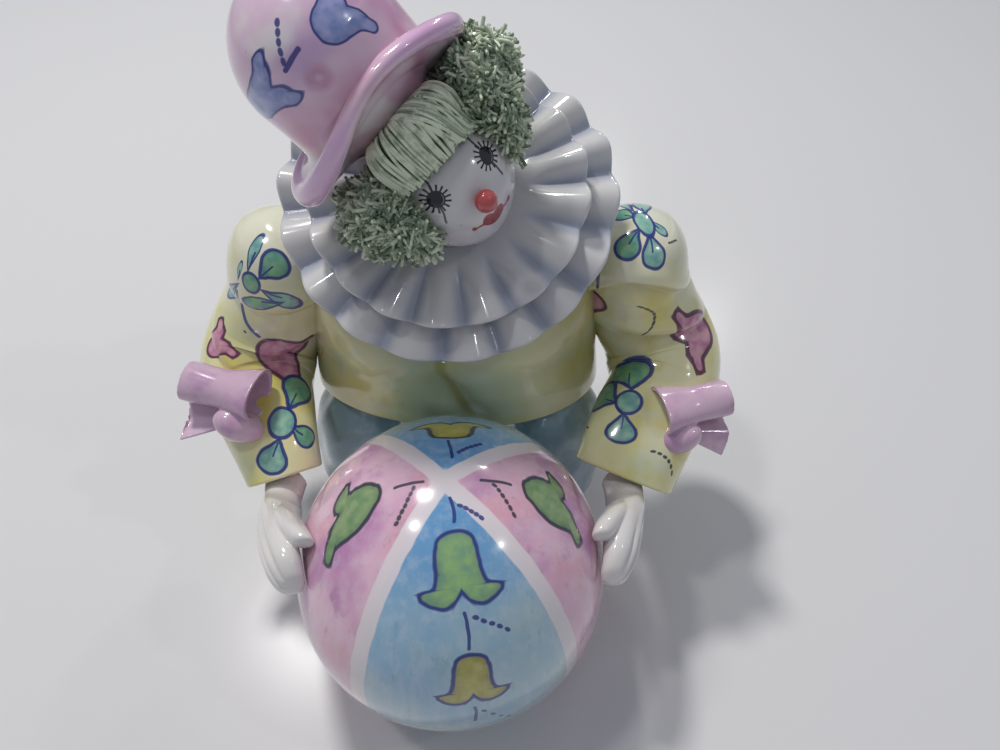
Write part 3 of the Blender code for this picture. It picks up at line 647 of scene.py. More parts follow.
def paint_ball():
    glaze = Glaze("ball_paint", tone(166, 198, 212), wave=0.05)
    tree = glaze.tree
    x, y, z = split(tree, glaze.wobble)
    angle = x.math("ARCTAN2", x, 0 - y)
    degrees = angle * (180 / math.pi)
    axis = (x * x + y * y).sqrt()
    glaze.cloud(tone(126, 174, 212), 24, 0.44, 0.70, 0.6)
    glaze.cloud(tone(190, 206, 200), 38, 0.46, 0.70, 0.7)
    glaze.cloud(tone(124, 166, 178), 70, 0.56, 0.74, 0.5, (1, 1, 0.4))
    glaze.lay(tone(178, 190, 184), z.ramp(66 * MM, 30 * MM) * 0.6)
    pole = z.ramp(84 * MM, 106 * MM)
    glaze.lay(tone(82, 148, 204), pole * 0.8)
    right = degrees.above(STRIPES[1]) * (STRIPES[2] - degrees).above(0)
    left = (STRIPES[0] - degrees).above(0) * degrees.above(STRIPES[3] - 360)
    pink = (right + left).least(1)
    glaze.lay(tone(228, 184, 204), pink)
    mauve = noise(tree, glaze.place, 30, 3.0).ramp(0.46, 0.66)
    glaze.lay(tone(186, 124, 178), pink * mauve * 0.85)
    warm = noise(tree, glaze.place, 52, 2.0).ramp(0.5, 0.7)
    glaze.lay(tone(226, 164, 178), pink * warm * 0.7)
    deep = noise(tree, glaze.place, 88, 3.0).ramp(0.60, 0.74)
    glaze.lay(tone(158, 92, 152), pink * deep * 0.45)
    streaks = noise(tree, glaze.place, 260, 4.0, 0.65, (1, 1, 0.07)).ramp(0.42, 0.68)
    glaze.lay(tone(228, 228, 228), streaks * 0.20)
    dry = noise(tree, glaze.place, 500, 4.0, 0.7, (0.5, 0.5, 0.1)).ramp(0.58, 0.70)
    glaze.lay(tone(98, 120, 142), dry * 0.22)
    stripes = None
    for heading in STRIPES:
        offset = angle - math.radians(heading)
        across = (offset.sin() * axis).abs()
        ahead = offset.cos().above(0)
        mask = across.ramp(STRIPE_HALF + 0.3 * MM, STRIPE_HALF - 0.3 * MM) * ahead
        stripes = mask if stripes is None else stripes.most(mask)
    middle = axis.ramp(STRIPE_HALF * 2.0, STRIPE_HALF * 1.3)
    band = stripes.most(middle)
    glaze.lay(tone(232, 222, 224), band * 0.94)
    brush = Brush(glaze, ball)
    decorate(brush, BALL_FLOWERS)
    for base, tip, ink, dots in BALL_SPRIGS:
        brush.seen_stroke(base, tip, ink, DOTS_THICK if dots else SPRIG_THICK, SPRIG_BEND, dots)
    ball.data.materials.append(glaze.finish())
    print("ball painted, nodes", len(tree.nodes))


paint_ball()

# %% [markdown]
# ## Shoes
# They are hidden behind the ball, so they are a guess, plain and rounded: a low heel and a thicker
# round toe. Each is a loft of half-round rings along the sole, from a table of half widths and
# heights, which keeps the sole flat on the floor.

# %% Shoes
HEM_Z = 72 * MM
HEM_HALF_DEPTH = 33 * MM
LEG_HALF_WIDTH = 20.5 * MM
BALL_TO_LEG = 6 * MM
LEG_DISTANCE = BALL_RADIUS + BALL_TO_LEG + LEG_HALF_WIDTH
LEG_SPREAD = math.radians(30)
SHOE_TURN = math.radians(12)
HEEL_BEHIND_LEG = 21 * MM
SHOE_ROWS = (
    # along the sole from the heel, half width, height
    (0, 4, 5), (3, 9, 10), (12, 11, 12), (41, 12, 12), (50, 14.5, 16.5), (59, 12.5, 14.5), (64, 5, 7),
)


def leg_foot(sign):
    return np.array((sign * LEG_DISTANCE * math.sin(LEG_SPREAD), LEG_DISTANCE * math.cos(LEG_SPREAD), 0))


def shoe_rings(sign, count=56):
    forward = np.array((sign * math.sin(SHOE_TURN), -math.cos(SHOE_TURN), 0))
    side = np.array((forward[1], -forward[0], 0))
    heel = leg_foot(sign) - forward * HEEL_BEHIND_LEG
    rings = []
    for along, half_width, height in blend_rows(SHOE_ROWS, 8):
        angle = np.linspace(-0.5, math.pi + 0.5, count)
        c, s = np.cos(angle), np.sin(angle)
        across = np.sign(c) * np.abs(c) ** 0.75 * half_width
        up = np.where(s > 0, np.abs(s) ** 0.75 * height, 0)
        across = np.where(s > 0, across, c * half_width * 0.98)
        rings.append(heel + forward * along * MM + np.outer(across * MM, side)
                     + np.outer(up * MM, (0, 0, 1)))
    return rings


def plain_pink(name):
    glaze = Glaze(name, tone(214, 172, 204))
    glaze.cloud(tone(196, 140, 190), 60, 0.45, 0.75, 0.8)
    return glaze.finish()


shoe_paint = plain_pink("shoe_paint")
for word, sign in (("left", -1), ("right", 1)):
    shoe = settle(loft("shoe_formed_" + word, shoe_rings(sign)), "pink_glaze", "shoe_" + word)
    shoe.data.materials.append(shoe_paint)

# %% [markdown]
# ## Trousers
# Short stout legs, brushed blue, that lean in under the jacket. Ripples in each ring's radius that
# drift round with the height make the soft folds of the cloth. The rings are only worked out
# here; the legs are joined once the jacket is there.

# %% Trouser legs
LEG_ROWS = (
    # height, half width, lean inwards and backwards
    (12.3, 19.0, 0, 0), (16, 20.0, 0, 0), (30, 20.5, 0, 0), (45, 20.5, 0, 0), (58, 19.0, 1, 2),
    (68, 15.5, 4, 6), (78, 13.5, 7, 9), (86, 11.0, 9, 10),
)


def leg_rings(sign, count=96):
    rings = []
    angle = turns(count)
    for height, half, inwards, back in blend_rows(LEG_ROWS, 7):
        centre = leg_foot(sign) + np.array((-sign * inwards, back, height)) * MM
        fold = 1 + 0.035 * np.sin(5 * angle + height / 9) * smoothstep(12, 24, height)
        fold = fold + 0.012 * np.sin(9 * angle - height / 5) * smoothstep(16, 30, height)
        rings.append(centre + np.stack([np.cos(angle) * fold, np.sin(angle) * fold, 0 * angle], -1)
                     * half * MM)
    return rings


print("leg rings", len(leg_rings(1)))

# %% [markdown]
# ## Jacket
# A bell-shaped body. It leans forwards from the hem to the neck, and its chest is pressed into two
# lobes with a slanted crease between. The hem is a rolled, wavy rim over a hollow that the legs go
# up into. Superellipse rings give the boxy hem and the round neck, and each ring is tilted as the
# body bends forwards.

# %% Jacket shape
BALL_TO_HEM = 1.8 * MM
RUFF_TILT = math.radians(36.9)
RUFF_UP = np.array((0, -math.sin(RUFF_TILT), math.cos(RUFF_TILT)))
RUFF_FRONT = np.array((0, -math.cos(RUFF_TILT), -math.sin(RUFF_TILT)))
SIDE = np.array((1.0, 0, 0))
hem_above = HEM_Z - BALL_CENTRE.z
HEM_MIDDLE_Y = math.sqrt(BALL_RADIUS ** 2 - hem_above ** 2) + BALL_TO_HEM + HEM_HALF_DEPTH
RUFF_CENTRE = np.array((0, HEM_MIDDLE_Y - 1.4 * MM, 154.7 * MM))
RUFF_THICKNESS = 2.2 * MM
CLAY_WALL = 2.5 * MM
NECK_HALF = 23 * MM
# the crease down the chest: its place at a height and its slant, kept within two limits
CREASE_AT = 6
CREASE_HEIGHT = 76
CREASE_SLANT = 0.41
CREASE_LIMITS = (-4, 6)
CHEST_LOBES = 4.8
HEM_LOBES = 3.0
HEM_WAVE = 2.4
JACKET_ROWS = (
    # height, half width, half depth, backwards, tilt in degrees, squareness
    (72, 58, 33, 0, 0, 2.6), (77, 57.5, 33.3, 0, 0, 2.6), (90, 56, 34.5, 0, 3, 2.5),
    (106, 55, 34.5, 0, 8, 2.4), (120, 53.5, 32, 0, 16, 2.3), (131, 48, 28, 0.5, 25, 2.2),
    (141, 39, 25, 1, 32, 2.1), (148, 29.5, 23.8, 0.5, 36, 2.0),
)


def jacket_ring(row, grow=0.0, count=200):
    height, half_width, half_depth, back, tilt, power = row
    lean = math.radians(tilt)
    front = np.array((0, -math.cos(lean), -math.sin(lean)))
    centre = np.array((0, HEM_MIDDLE_Y + back * MM, height * MM))
    angle = turns(count)
    x, y = superellipse(angle, half_width * MM + grow, half_depth * MM + grow, power)
    crease = np.clip(CREASE_AT - CREASE_SLANT * (height - CREASE_HEIGHT), *CREASE_LIMITS) * MM
    across = (x - crease) / (half_width * MM)
    facing = np.maximum(np.sin(angle), 0)
    lobes = facing * (1 - np.exp(-(across / 0.11) ** 2)) * np.maximum(np.cos(across * math.pi / 2), 0)
    chest = math.exp(-((height - 94) / 15) ** 2)
    hem = math.exp(-((height - HEM_Z / MM) / 8) ** 2)
    deep = (CHEST_LOBES * chest + HEM_LOBES * hem) * MM
    y = y + deep * (lobes - (0.6 * chest + 0.2 * hem) * facing)
    ring = centre + np.outer(x, SIDE) + np.outer(y, front)
    waves = lobes * (1 + 0.5 * across) - 0.45 * facing
    ring[:, 2] -= HEM_WAVE * MM * math.exp(-((height - HEM_Z / MM) / 4) ** 2) * waves
    return ring


def neck_ring(count=200):
    drop = RUFF_THICKNESS / 2 + GAP
    angle = turns(count)
    x, y = superellipse(angle, NECK_HALF, NECK_HALF)
    return RUFF_CENTRE - RUFF_UP * drop + np.outer(x, SIDE) + np.outer(y, RUFF_FRONT)


def jacket_rings():
    outside = [jacket_ring(row) for row in blend_rows(JACKET_ROWS, 9)][::-1]
    top = np.array(outside[0])
    rings = [neck_ring() + (top - neck_ring()) * share for share in (0, 0.33, 0.66)] + outside
    rim = []
    for angle in np.linspace(0, math.pi, 9)[1:]:
        inward = (1 - math.cos(angle)) / 2 * CLAY_WALL
        rim.append(jacket_ring(JACKET_ROWS[0], -inward))
        rim[-1][:, 2] -= math.sin(angle) * CLAY_WALL / 2
    inside = [jacket_ring(JACKET_ROWS[1], -CLAY_WALL), jacket_ring(JACKET_ROWS[2], -CLAY_WALL)]
    return rings + rim + inside


jacket = settle(loft("jacket_formed", jacket_rings()), "yellow_glaze", "jacket")

# %% [markdown]
# The trousers are two legs and a plug that closes the hollow of the jacket. A voxel remesh melts
# the three lofts into one skin, as wet clay does, and a few smoothing steps take out its
# stair-steps. The modifiers' result is kept as a plain mesh.

# %% Trousers join


def melt(name, parts, voxel, smooth=4):
    """Join overlapping closed shapes into one skin."""
    bm = bmesh.new()
    for part in parts:
        bm.from_mesh(part.data)
        bpy.data.objects.remove(part)
    mesh = bpy.data.meshes.new(name)
    bm.to_mesh(mesh)
    bm.free()
    joined = bpy.data.objects.new(name + "_raw", mesh)
    bpy.context.scene.collection.objects.link(joined)
    remesh = joined.modifiers.new("melt", "REMESH")
    remesh.mode = "VOXEL"
    remesh.voxel_size = voxel
    soften = joined.modifiers.new("soften", "SMOOTH")
    soften.factor = 0.5
    soften.iterations = smooth
    evaluated = joined.evaluated_get(bpy.context.evaluated_depsgraph_get())
    final = bpy.data.meshes.new_from_object(evaluated)
    bpy.data.objects.remove(joined)
    final.name = name
    made = bpy.data.objects.new(name, final)
    bpy.context.scene.collection.objects.link(made)
    final.shade_smooth()
    return made


def trouser_plug():
    rings = [jacket_ring(row, -CLAY_WALL - 2 * GAP, 96) for row in JACKET_ROWS[:3]]
    rings[0][:, 2] += 3 * MM
    rings[2][:, 2] += 1.2 * MM
    return loft("plug", rings)


legs = [loft("leg", leg_rings(sign)) for sign in (-1, 1)]
trousers = settle(melt("trousers_formed", legs + [trouser_plug()], 0.8 * MM), "blue_glaze", "trousers")


def paint_trousers():
    glaze = Glaze("trouser_paint", tone(158, 182, 196))
    glaze.cloud(tone(112, 140, 152), 34, 0.40, 0.66, 0.75)
    glaze.cloud(tone(112, 144, 140), 46, 0.50, 0.72, 0.6)
    glaze.cloud(tone(176, 192, 198), 150, 0.55, 0.72, 0.6, (1, 1, 0.2))
    return glaze.finish()


trousers.data.materials.append(paint_trousers())

# %% [markdown]
# ## Sleeves
# Puffed sleeves sag over themselves in two rolls between shoulder and elbow, then run forward to a
# wide open cuff; the left cuff is narrower. The sleeve is a loft along the arm. Each ring's points
# are pulled in where they are near a fold's level, sharply under the roll and easing out further
# down, and only on the front. The last rings turn in to make the cuff's rolled lip and its inside.

# %% Sleeve shape
CUFF_ANGLE = math.radians(27)
CUFF_HALF_HEIGHT = 12.5 * MM
ARM_ROWS = (
    # x, backwards from the hem's middle, height, half width, half height
    (61, 4, 140.5, 3, 3), (61.5, 4, 139, 10, 10), (63, 4, 134, 17, 17), (65.5, 4, 126, 21, 21),
    (67, 3.5, 117, 21.8, 21.8), (69, 3.5, 110, 21.6, 21.6), (72, 3, 103, 21.6, 21.6),
    (75.5, 2, 96.5, 21.6, 21.6), (80.5, -1, 88, 22, 21.6), (83.5, -8, 80.5, 22.9, 21.5),
    (82, -20, 76, 21.5, 18.5),
)
CUFFS = {1: 19.5, -1: 14.5}
CUFF_BESIDE_BALL = 17.5 * MM
CUFF_ABOVE_MIDDLE = 10.5 * MM
LEFT_ARM_CLOSER = 3.5
FOLDS = {
    # height of each fold, its depth as a share of the arm, and its rise 15 mm out from the middle
    1: ((126, 0.15, -7), (102, 0.17, -1)),
    -1: ((113, 0.06, 2), (90.5, 0.19, 6)),
}


def arm_rows(sign):
    half_width = CUFFS[sign]
    out = BALL_RADIUS + CUFF_BESIDE_BALL
    mouth = np.array((out * math.cos(CUFF_ANGLE), out * math.sin(CUFF_ANGLE),
                      BALL_CENTRE.z + CUFF_ABOVE_MIDDLE)) / MM
    closer = LEFT_ARM_CLOSER if sign < 0 else 0
    rows = [[x - closer, HEM_MIDDLE_Y / MM + back, z, a, b] for x, back, z, a, b in ARM_ROWS]
    elbow = np.array(rows[-1][:3])
    for share, height_share in ((0.42, 1.12), (0.75, 1.0)):
        middle = elbow + (mouth - elbow) * share + np.array((0, 0, 4))
        width = ARM_ROWS[-1][3] * (1 - share) + half_width * share
        rows.append([*middle, width, CUFF_HALF_HEIGHT / MM * height_share])
    rows.append([*mouth, half_width, CUFF_HALF_HEIGHT / MM])
    return rows


def sleeve_rings(sign, count=120):
    rows = blend_rows(arm_rows(sign), 18) * MM
    points = rows[:, :3]
    angle = turns(count)
    rings = []
    for index, row in enumerate(rows):
        along = points[min(index + 1, len(points) - 1)] - points[max(index - 1, 0)]
        along = along / np.linalg.norm(along)
        up = np.cross(along, SIDE)
        up = up / np.linalg.norm(up)
        side = np.cross(up, along)
        ring = row[:3] + np.outer(np.cos(angle) * row[3], side) + np.outer(np.sin(angle) * row[4], up)
        height = ring[:, 2] / MM
        spokes = ring - row[:3]
        inward = np.maximum(-spokes[:, 1] / np.linalg.norm(spokes, axis=1), 0)
        sideways = spokes[:, 0] / MM
        pinch = 0
        for level, depth, arch in FOLDS[sign]:
            above = height - level - arch * (sideways / 15) ** 2
            pinch = pinch + depth * np.where(above > 0, np.exp(-(above / 1.3) ** 2), np.exp(above / 6))
            pinch = pinch - 0.30 * depth * np.exp(-((above - 5) / 3.5) ** 2)
        rings.append(row[:3] + spokes * (1 - pinch * inward ** 0.6)[:, None])
    rim = rings[-1]
    middle = rim.mean(axis=0)
    back = rings[-7].mean(axis=0) - middle
    back = back / np.linalg.norm(back)
    inner = 1 - CLAY_WALL / min(CUFFS[sign] * MM, CUFF_HALF_HEIGHT)
    for turn in np.linspace(0, math.pi, 8)[1:]:
        share = 1 + (inner - 1) * (1 - math.cos(turn)) / 2
        rings.append(middle + (rim - middle) * share - back * math.sin(turn) * 0.9 * MM)
    for depth, share in ((2, 0.97), (5, 0.94), (9, 0.92), (13, 0.9)):
        rings.append(middle + (rim - middle) * inner * share + back * depth * MM)
    rings = np.array(rings)
    if sign < 0:
        rings[:, :, 0] *= -1
    return rings


sleeves = {}
for word, sign in (("left", -1), ("right", 1)):
    formed = loft("sleeve_formed_" + word, sleeve_rings(sign))
    sleeves[word] = settle(formed, "yellow_glaze", "sleeve_" + word)

# %% [markdown]
# The jacket and sleeves share one yellow glaze: a pale ground with clouds of ochre, cream and
# aqua, each a noise with its own size. The jacket turns aqua in the middle of the chest and strong
# yellow at the hem. Its sides are painted darker olive as painted shade, and its crease a darker
# olive yellow: the glaze's own yellow, darkened as painted shade.

# %% Yellow glaze


def yellow_glaze(name, aqua=0.35):
    glaze = Glaze(name, tone(232, 228, 176))
    glaze.cloud(tone(222, 208, 104), 30, 0.42, 0.68, 0.9)
    glaze.cloud(tone(232, 232, 206), 48, 0.50, 0.72, 0.7)
    glaze.cloud(tone(176, 204, 182), 27, 0.50, 0.70, aqua)
    glaze.cloud(tone(206, 188, 84), 90, 0.60, 0.75, 0.5)
    return glaze


def paint_jacket():
    glaze = yellow_glaze("jacket_paint", 0.9)
    x, y, z = split(glaze.tree, glaze.wobble)
    crease_x = CREASE_AT * MM - (z - CREASE_HEIGHT * MM) * CREASE_SLANT
    across = (x - crease_x.most(CREASE_LIMITS[0] * MM).least(CREASE_LIMITS[1] * MM)).abs()
    front = (RUFF_CENTRE[1] - y).above(0)
    centre = across.ramp(34 * MM, 12 * MM) * z.ramp(118 * MM, 92 * MM) * front
    # the crease is the glaze's own yellow, painted darker as painted shade
    crease = across.ramp(3.4 * MM, 0.4 * MM) * z.ramp(66 * MM, 76 * MM) * front
    # painted shade: the sides of the front are painted darker olive
    painted_side_shade = across.ramp(28 * MM, 52 * MM) * front
    glaze.lay(tone(196, 212, 186), centre * 0.7)
    glaze.lay(tone(176, 168, 92), crease * 0.75)
    glaze.lay(tone(162, 156, 104), painted_side_shade * 0.6)
    glaze.lay(tone(214, 204, 96), z.ramp(78 * MM, 71 * MM) * 0.5)
    return glaze.finish()


jacket.data.materials.append(paint_jacket())

# %% [markdown]
# On the sleeves the painter put round leafy flowers, plum blossoms and dotted sprigs. Each row of
# the table is one ornament, in the order in which it is painted, so a flower's middle covers the
# ends of its petals. The ground is painted nearly white on top of the shoulders, as painted light.

# %% Sleeve paint
SLEEVE_PAINT = {
    # pixels of its base and tip come first; then a veined petal has its width and colours, another
    # shape width, colours, ink and line, and a stroke ink, thickness, bend and number of dots
    "left": (
        ("veined petal", (260, 277), (285, 256), 1.0, LEAF),
        ("veined petal", (248, 271), (263, 235), 0.34, TEAL),
        ("veined petal", (262, 291), (301, 305), 0.46, TEAL),
        ("veined petal", (281, 303), (243, 301), 0.40, LEAF),
        ("veined petal", (238, 280), (242, 261), 0.3, TEAL),
        ("veined petal", (238, 284), (228, 295), 0.35, TEAL),
        ("oval", (254, 293), (248, 273), 0.92, LEAF, INK_BLUE, 0.15),
        ("stroke", (237, 291), (258, 336), INK_BLUE, 1.5, 0.30),
        ("blossom", (300, 350), (260, 342), 0.85, PLUM, INK_PLUM, 0.085),
        ("blossom", (224, 338), (207, 351), 0.8, PLUM, INK_PLUM, 0.10),
        ("veined petal", (290, 408), (302, 379), 0.85, LEAF),
        ("veined petal", (292, 427), (313, 443), 0.95, LEAF),
        ("veined petal", (279, 440), (268, 473), 0.98, TEAL),
        ("oval", (279, 438), (285, 408), 0.80, TEAL, INK_BLUE, 0.12),
        ("stroke", (244, 331), (245.5, 332.5), INK_DARK, 0.8),
        ("stroke", (325, 318), (326.5, 319.5), INK_DARK, 0.8),
        ("stroke", (323, 322), (324.5, 323.5), INK_DARK, 0.8),
    ),
    "right": (
        ("veined petal", (638, 230), (621, 258), 0.85, LEAF),
        ("veined petal", (650, 235), (655, 269), 0.80, TEAL),
        ("veined petal", (650, 221), (667, 236), 0.5, TEAL),
        ("veined petal", (636, 217), (614, 214), 0.85, LEAF),
        ("veined petal", (645, 214), (639, 203), 0.6, TEAL),
        ("veined petal", (634, 211), (618, 193), 0.35, TEAL),
        ("oval", (651, 236), (637, 212), 0.52, TEAL, INK_BLUE, 0.14),
        ("stroke", (611.7, 235), (600.6, 288.5), INK_BLUE, 1.2, 0.06),
        ("petal", (592, 311), (596, 293), 1.4, PLUM, INK_PLUM, 0.12),
        ("blossom", (686, 343), (708, 323), 1.0, PLUM, INK_PLUM, 0.11),
        ("stroke", (637, 305.7), (642, 335.3), INK_DARK, 1.3, -0.80, 8),
        ("stroke", (668, 243), (677, 240), INK_DARK, 0.9, 0.0, 4),
        ("veined petal", (628, 388), (631, 358), 0.98, LEAF),
        ("veined petal", (616, 402), (598, 396), 1.2, LEAF),
        ("veined petal", (624, 414), (619, 443), 1.12, TEAL),
        ("oval", (628, 413.5), (629, 391), 1.02, TEAL, INK_BLUE, 0.13),
        ("stroke", (649, 450.4), (672, 476.8), INK_DARK, 1.3, -0.38, 6),
        ("stroke", (587, 427), (588, 428), INK_DARK, 0.8),
    ),
}


def sleeve_glaze_lit_top(name):
    """Painted light: the yellow turns nearly white on top of the shoulder, where the light falls."""
    glaze = yellow_glaze(name)
    height = split(glaze.tree, glaze.wobble)[2]
    # painted light: a near white wash on top of the shoulder
    glaze.lay(tone(234, 234, 226), height.ramp(116 * MM, 142 * MM) * 0.65)
    return glaze


for word, sleeve in sleeves.items():
    glaze = sleeve_glaze_lit_top(word + "_sleeve_paint")
    decorate(Brush(glaze, sleeve), SLEEVE_PAINT[word])
    sleeve.data.materials.append(glaze.finish())
    print(word, "sleeve painted, nodes", len(glaze.tree.nodes))

# %% [markdown]
# ## Hands
# White mittens with pressed finger grooves lie on the ball, the thumb above. The tables place each
# ring by its direction from the ball's middle and its space to the ball's skin, so a hand follows
# the ball whatever its size. The palm and the thumb are two lofts, melted into one.

# %% Hands
WRIST_HALF_WIDTH = 8 * MM
HAND_ROWS = (
    # degrees round the ball and up from its middle, space to the ball, half width, half thickness
    (28.8, 6.4, 9.6, 0.84, 0.88), (23, 6.6, 7.2, 0.90, 0.96), (18, 8.0, 4.8, 0.98, 0.98),
    (12.5, 12.6, 3.0, 1.12, 0.96), (6.5, 16.0, 1.8, 1.16, 0.88), (-0.5, 17.8, 0.9, 1.12, 0.80),
    (-7.5, 18.0, 0.4, 1.02, 0.70), (-13.5, 17.4, 0.3, 0.70, 0.50), (-16, 17.0, 0.9, 0.2, 0.15),
)
THUMB_ROWS = (
    (13.5, 16.0, 3.6, 0.58, 0.62), (7.5, 22.5, 2.4, 0.58, 0.60), (1.0, 27.0, 0.9, 0.56, 0.54),
    (-4.5, 29.0, 0.3, 0.44, 0.40), (-6.2, 29.4, 0.9, 0.12, 0.12),
)
# the left hand's tips lie this many degrees further forward and up, and closer to the ball
LEFT_HAND_FORWARD = 9
LEFT_HAND_CLIMB = 9
LEFT_HAND_CLOSER = 0.6
# where the finger grooves run, from -1 at the hand's lower edge to 1 at the upper
GROOVES = (-0.55, -0.05, 0.45)
GROOVE_DEPTH = 0.22


def hand_rings(rows, sign, fingers, count=72):
    rings = []
    table = blend_rows(rows, 9)
    for number, (degrees, climb, space, wide, thick) in enumerate(table):
        if sign < 0:
            space *= 1 - LEFT_HAND_CLOSER * smoothstep(22, 10, degrees)
            over = smoothstep(19, -10, degrees)
            degrees -= LEFT_HAND_FORWARD * over
            climb += LEFT_HAND_CLIMB * over
        turn, rise = math.radians(degrees), math.radians(climb)
        outward = np.array((sign * math.cos(turn) * math.cos(rise), math.sin(turn) * math.cos(rise),
                            math.sin(rise)))
        half_thick = WRIST_HALF_WIDTH * thick
        centre = np.array(BALL_CENTRE) + outward * (BALL_RADIUS + GAP + space * MM + half_thick)
        upright = np.array((0, 0, 1)) - outward * outward[2]
        upright = upright / np.linalg.norm(upright)
        angle = turns(count)
        c, s = np.cos(angle), np.sin(angle)
        press = np.zeros(count)
        if fingers:
            depth = GROOVE_DEPTH * smoothstep(0.40, 0.70, number / len(table))
            for groove in GROOVES:
                press = press + depth * np.exp(-((s - groove) / 0.11) ** 2)
        rings.append(centre + np.outer(c * half_thick * (1 - press), outward)
                     + np.outer(s * WRIST_HALF_WIDTH * wide, upright))
    return rings


def paint_white(name, shade=(206, 202, 198), ground=(226, 222, 218)):
    glaze = Glaze(name, tone(*ground), speck=0.25)
    glaze.cloud(tone(*shade), 45, 0.45, 0.75, 0.6)
    glaze.cloud(tone(232, 224, 212), 90, 0.5, 0.8, 0.4)
    return glaze


hand_paint = paint_white("hand_paint").finish()
for word, sign in (("left", -1), ("right", 1)):
    palm = loft("palm", hand_rings(HAND_ROWS, sign, True))
    thumb = loft("thumb", hand_rings(THUMB_ROWS, sign, False))
    hand = settle(melt("hand_formed_" + word, [palm, thumb], 0.35 * MM), "white_glaze", "hand_" + word)
    hand.data.materials.append(hand_paint)

# %% [markdown]
# ## Bows
# Each bow is a short flared tube of rolled clay for the loops, a flat curled tail and an egg-shaped
# knot, squeezed together. The three are made by themselves, in places given from the cuff, and
# melted. The bows are each other's mirror image, each at its own place and size.

# %% Bows
# each side's offset from the arm's outer edge, and the bow's scale
BOWS = {1: ((-5.36, -5.25, 9.9), 1.11), -1: ((-6.72, -3.75, 16.9), 1.19)}
# the loop's two ends, and its radii at the start, the middle and the end
BOW_LOOP = ((-12, -2, 2), (11, 4, 3), (8.8, 7.0, 6.4))
# the tail's two ends, its half widths, and the direction in which it is wide
BOW_TAIL = ((-2, -4, -5), (12, -1, -7), (3.5, 6.5, 9.5), (0, 0.9, 0.45))
# the knot's middle and its half sizes
BOW_KNOT = ((-5.5, -8, -4.5), (8, 5.2, 5.4))
BOW_WALL = 1.7
RIBBON_HALF_THICKNESS = 1.5 * MM
KNOT_LEAN = 0.55


def bow_point(sign, place):
    offset, scale = BOWS[sign]
    x, y, z, half_width, _ = arm_rows(sign)[-3]
    spot = np.array((x + half_width, y, z)) + np.array(offset) + np.array(place) * scale
    return spot * np.array((sign, 1, 1)) * MM


def tube_rings(start, end, radii, size, count=48):
    """A rolled loop: radii at its start, middle and end."""
    along = (end - start) / np.linalg.norm(end - start)
    side = np.cross(along, (0, 0, 1))
    side = side / np.linalg.norm(side)
    up = np.cross(side, along)
    angle = turns(count)
    outside, inside = [], []
    for share in np.linspace(0, 1, 22):
        half = np.interp(share, (0, 0.5, 1), radii) * size
        half = half + 0.04 * size * radii[0] * math.cos(2 * math.pi * share)
        centre = start + (end - start) * share
        for rows, reach in ((outside, half), (inside, max(half - BOW_WALL * MM, half * 0.3))):
            ripple = 1 + 0.04 * np.sin(3 * angle + 4 * share)
            rows.append(centre + np.outer(np.cos(angle) * reach * ripple, side)
                        + np.outer(np.sin(angle) * reach * 0.8 * ripple, up))
    return outside + inside[::-1]


def ribbon_rings(start, end, radii, wide, size, count=48):
    """A flat tail that gets wider and curls like a gutter towards its end."""
    along = (end - start) / np.linalg.norm(end - start)
    side = np.array(wide) - along * np.dot(wide, along)
    side = side / np.linalg.norm(side)
    up = np.cross(along, side)
    angle = turns(count)
    rings = []
    for share in np.linspace(0, 1, 22):
        half = np.interp(share, (0, 0.5, 1), radii) * size
        x, y = superellipse(angle, half, RIBBON_HALF_THICKNESS, 2.4)
        curl = 3.4 * MM * share * (x / half) ** 2 + 1.1 * MM * share * np.sin(x / half * 5)
        centre = start + (end - start) * (share - 0.08 * share * np.abs(x / half)[:, None] ** 2)
        rings.append(centre + np.outer(x, side) + np.outer(y - curl, up))
    return rings


def egg_rings(half, rows=24, count=40):
    rings = []
    for polar in np.linspace(0.05, math.pi - 0.05, rows):
        x, y = superellipse(turns(count), half[1] * math.sin(polar), half[2] * math.sin(polar))
        rings.append(np.stack([np.full(count, half[0] * math.cos(polar)), x, y], axis=-1))
    return np.array(rings)


def bow(word, sign):
    size = BOWS[sign][1] * MM
    mirror = np.array((sign, 1, 1))
    start, end, radii = BOW_LOOP
    loops = tube_rings(bow_point(sign, start), bow_point(sign, end), radii, size)
    start, end, radii, wide = BOW_TAIL
    tail = ribbon_rings(bow_point(sign, start), bow_point(sign, end), radii, wide, size)
    parts = [loft("loop", loops, loop=True), loft("tail", tail)]
    centre, half = BOW_KNOT
    lean = np.array(Euler((0, -KNOT_LEAN * sign, 0)).to_matrix())
    egg = egg_rings(np.array(half) * size) * mirror
    parts.append(loft("knot", egg @ lean.T + bow_point(sign, centre)))
    return settle(melt("bow_formed_" + word, parts, 0.35 * MM, 3), "pink_glaze", "bow_" + word)


def paint_bow():
    glaze = Glaze("bow_paint", tone(210, 178, 198))
    glaze.cloud(tone(190, 146, 182), 90, 0.42, 0.7, 0.85)
    glaze.cloud(tone(190, 120, 180), 130, 0.62, 0.76, 0.6)
    glaze.cloud(tone(226, 210, 222), 60, 0.5, 0.8, 0.5)
    return glaze.finish()


bow_paint = paint_bow()
for word, sign in (("left", -1), ("right", 1)):
    bow(word, sign).data.materials.append(bow_paint)

# %% [markdown]
# ## Ruffs
# The collar is two rings of thin clay, pleated by pressing. Its shape follows a rule, so Geometry
# Nodes make it: a grid is wrapped round, one direction going round the neck and the other round
# the thin cross-section, and every point's place comes from a formula. The pleats are a row of
# arches with narrow valleys, a little uneven, and they grow towards the rim. The depth of the
# valley is stored on the points as "valley", which the paint reads to lay grey there: partly glaze
# pooled in the valleys, partly painted shade.

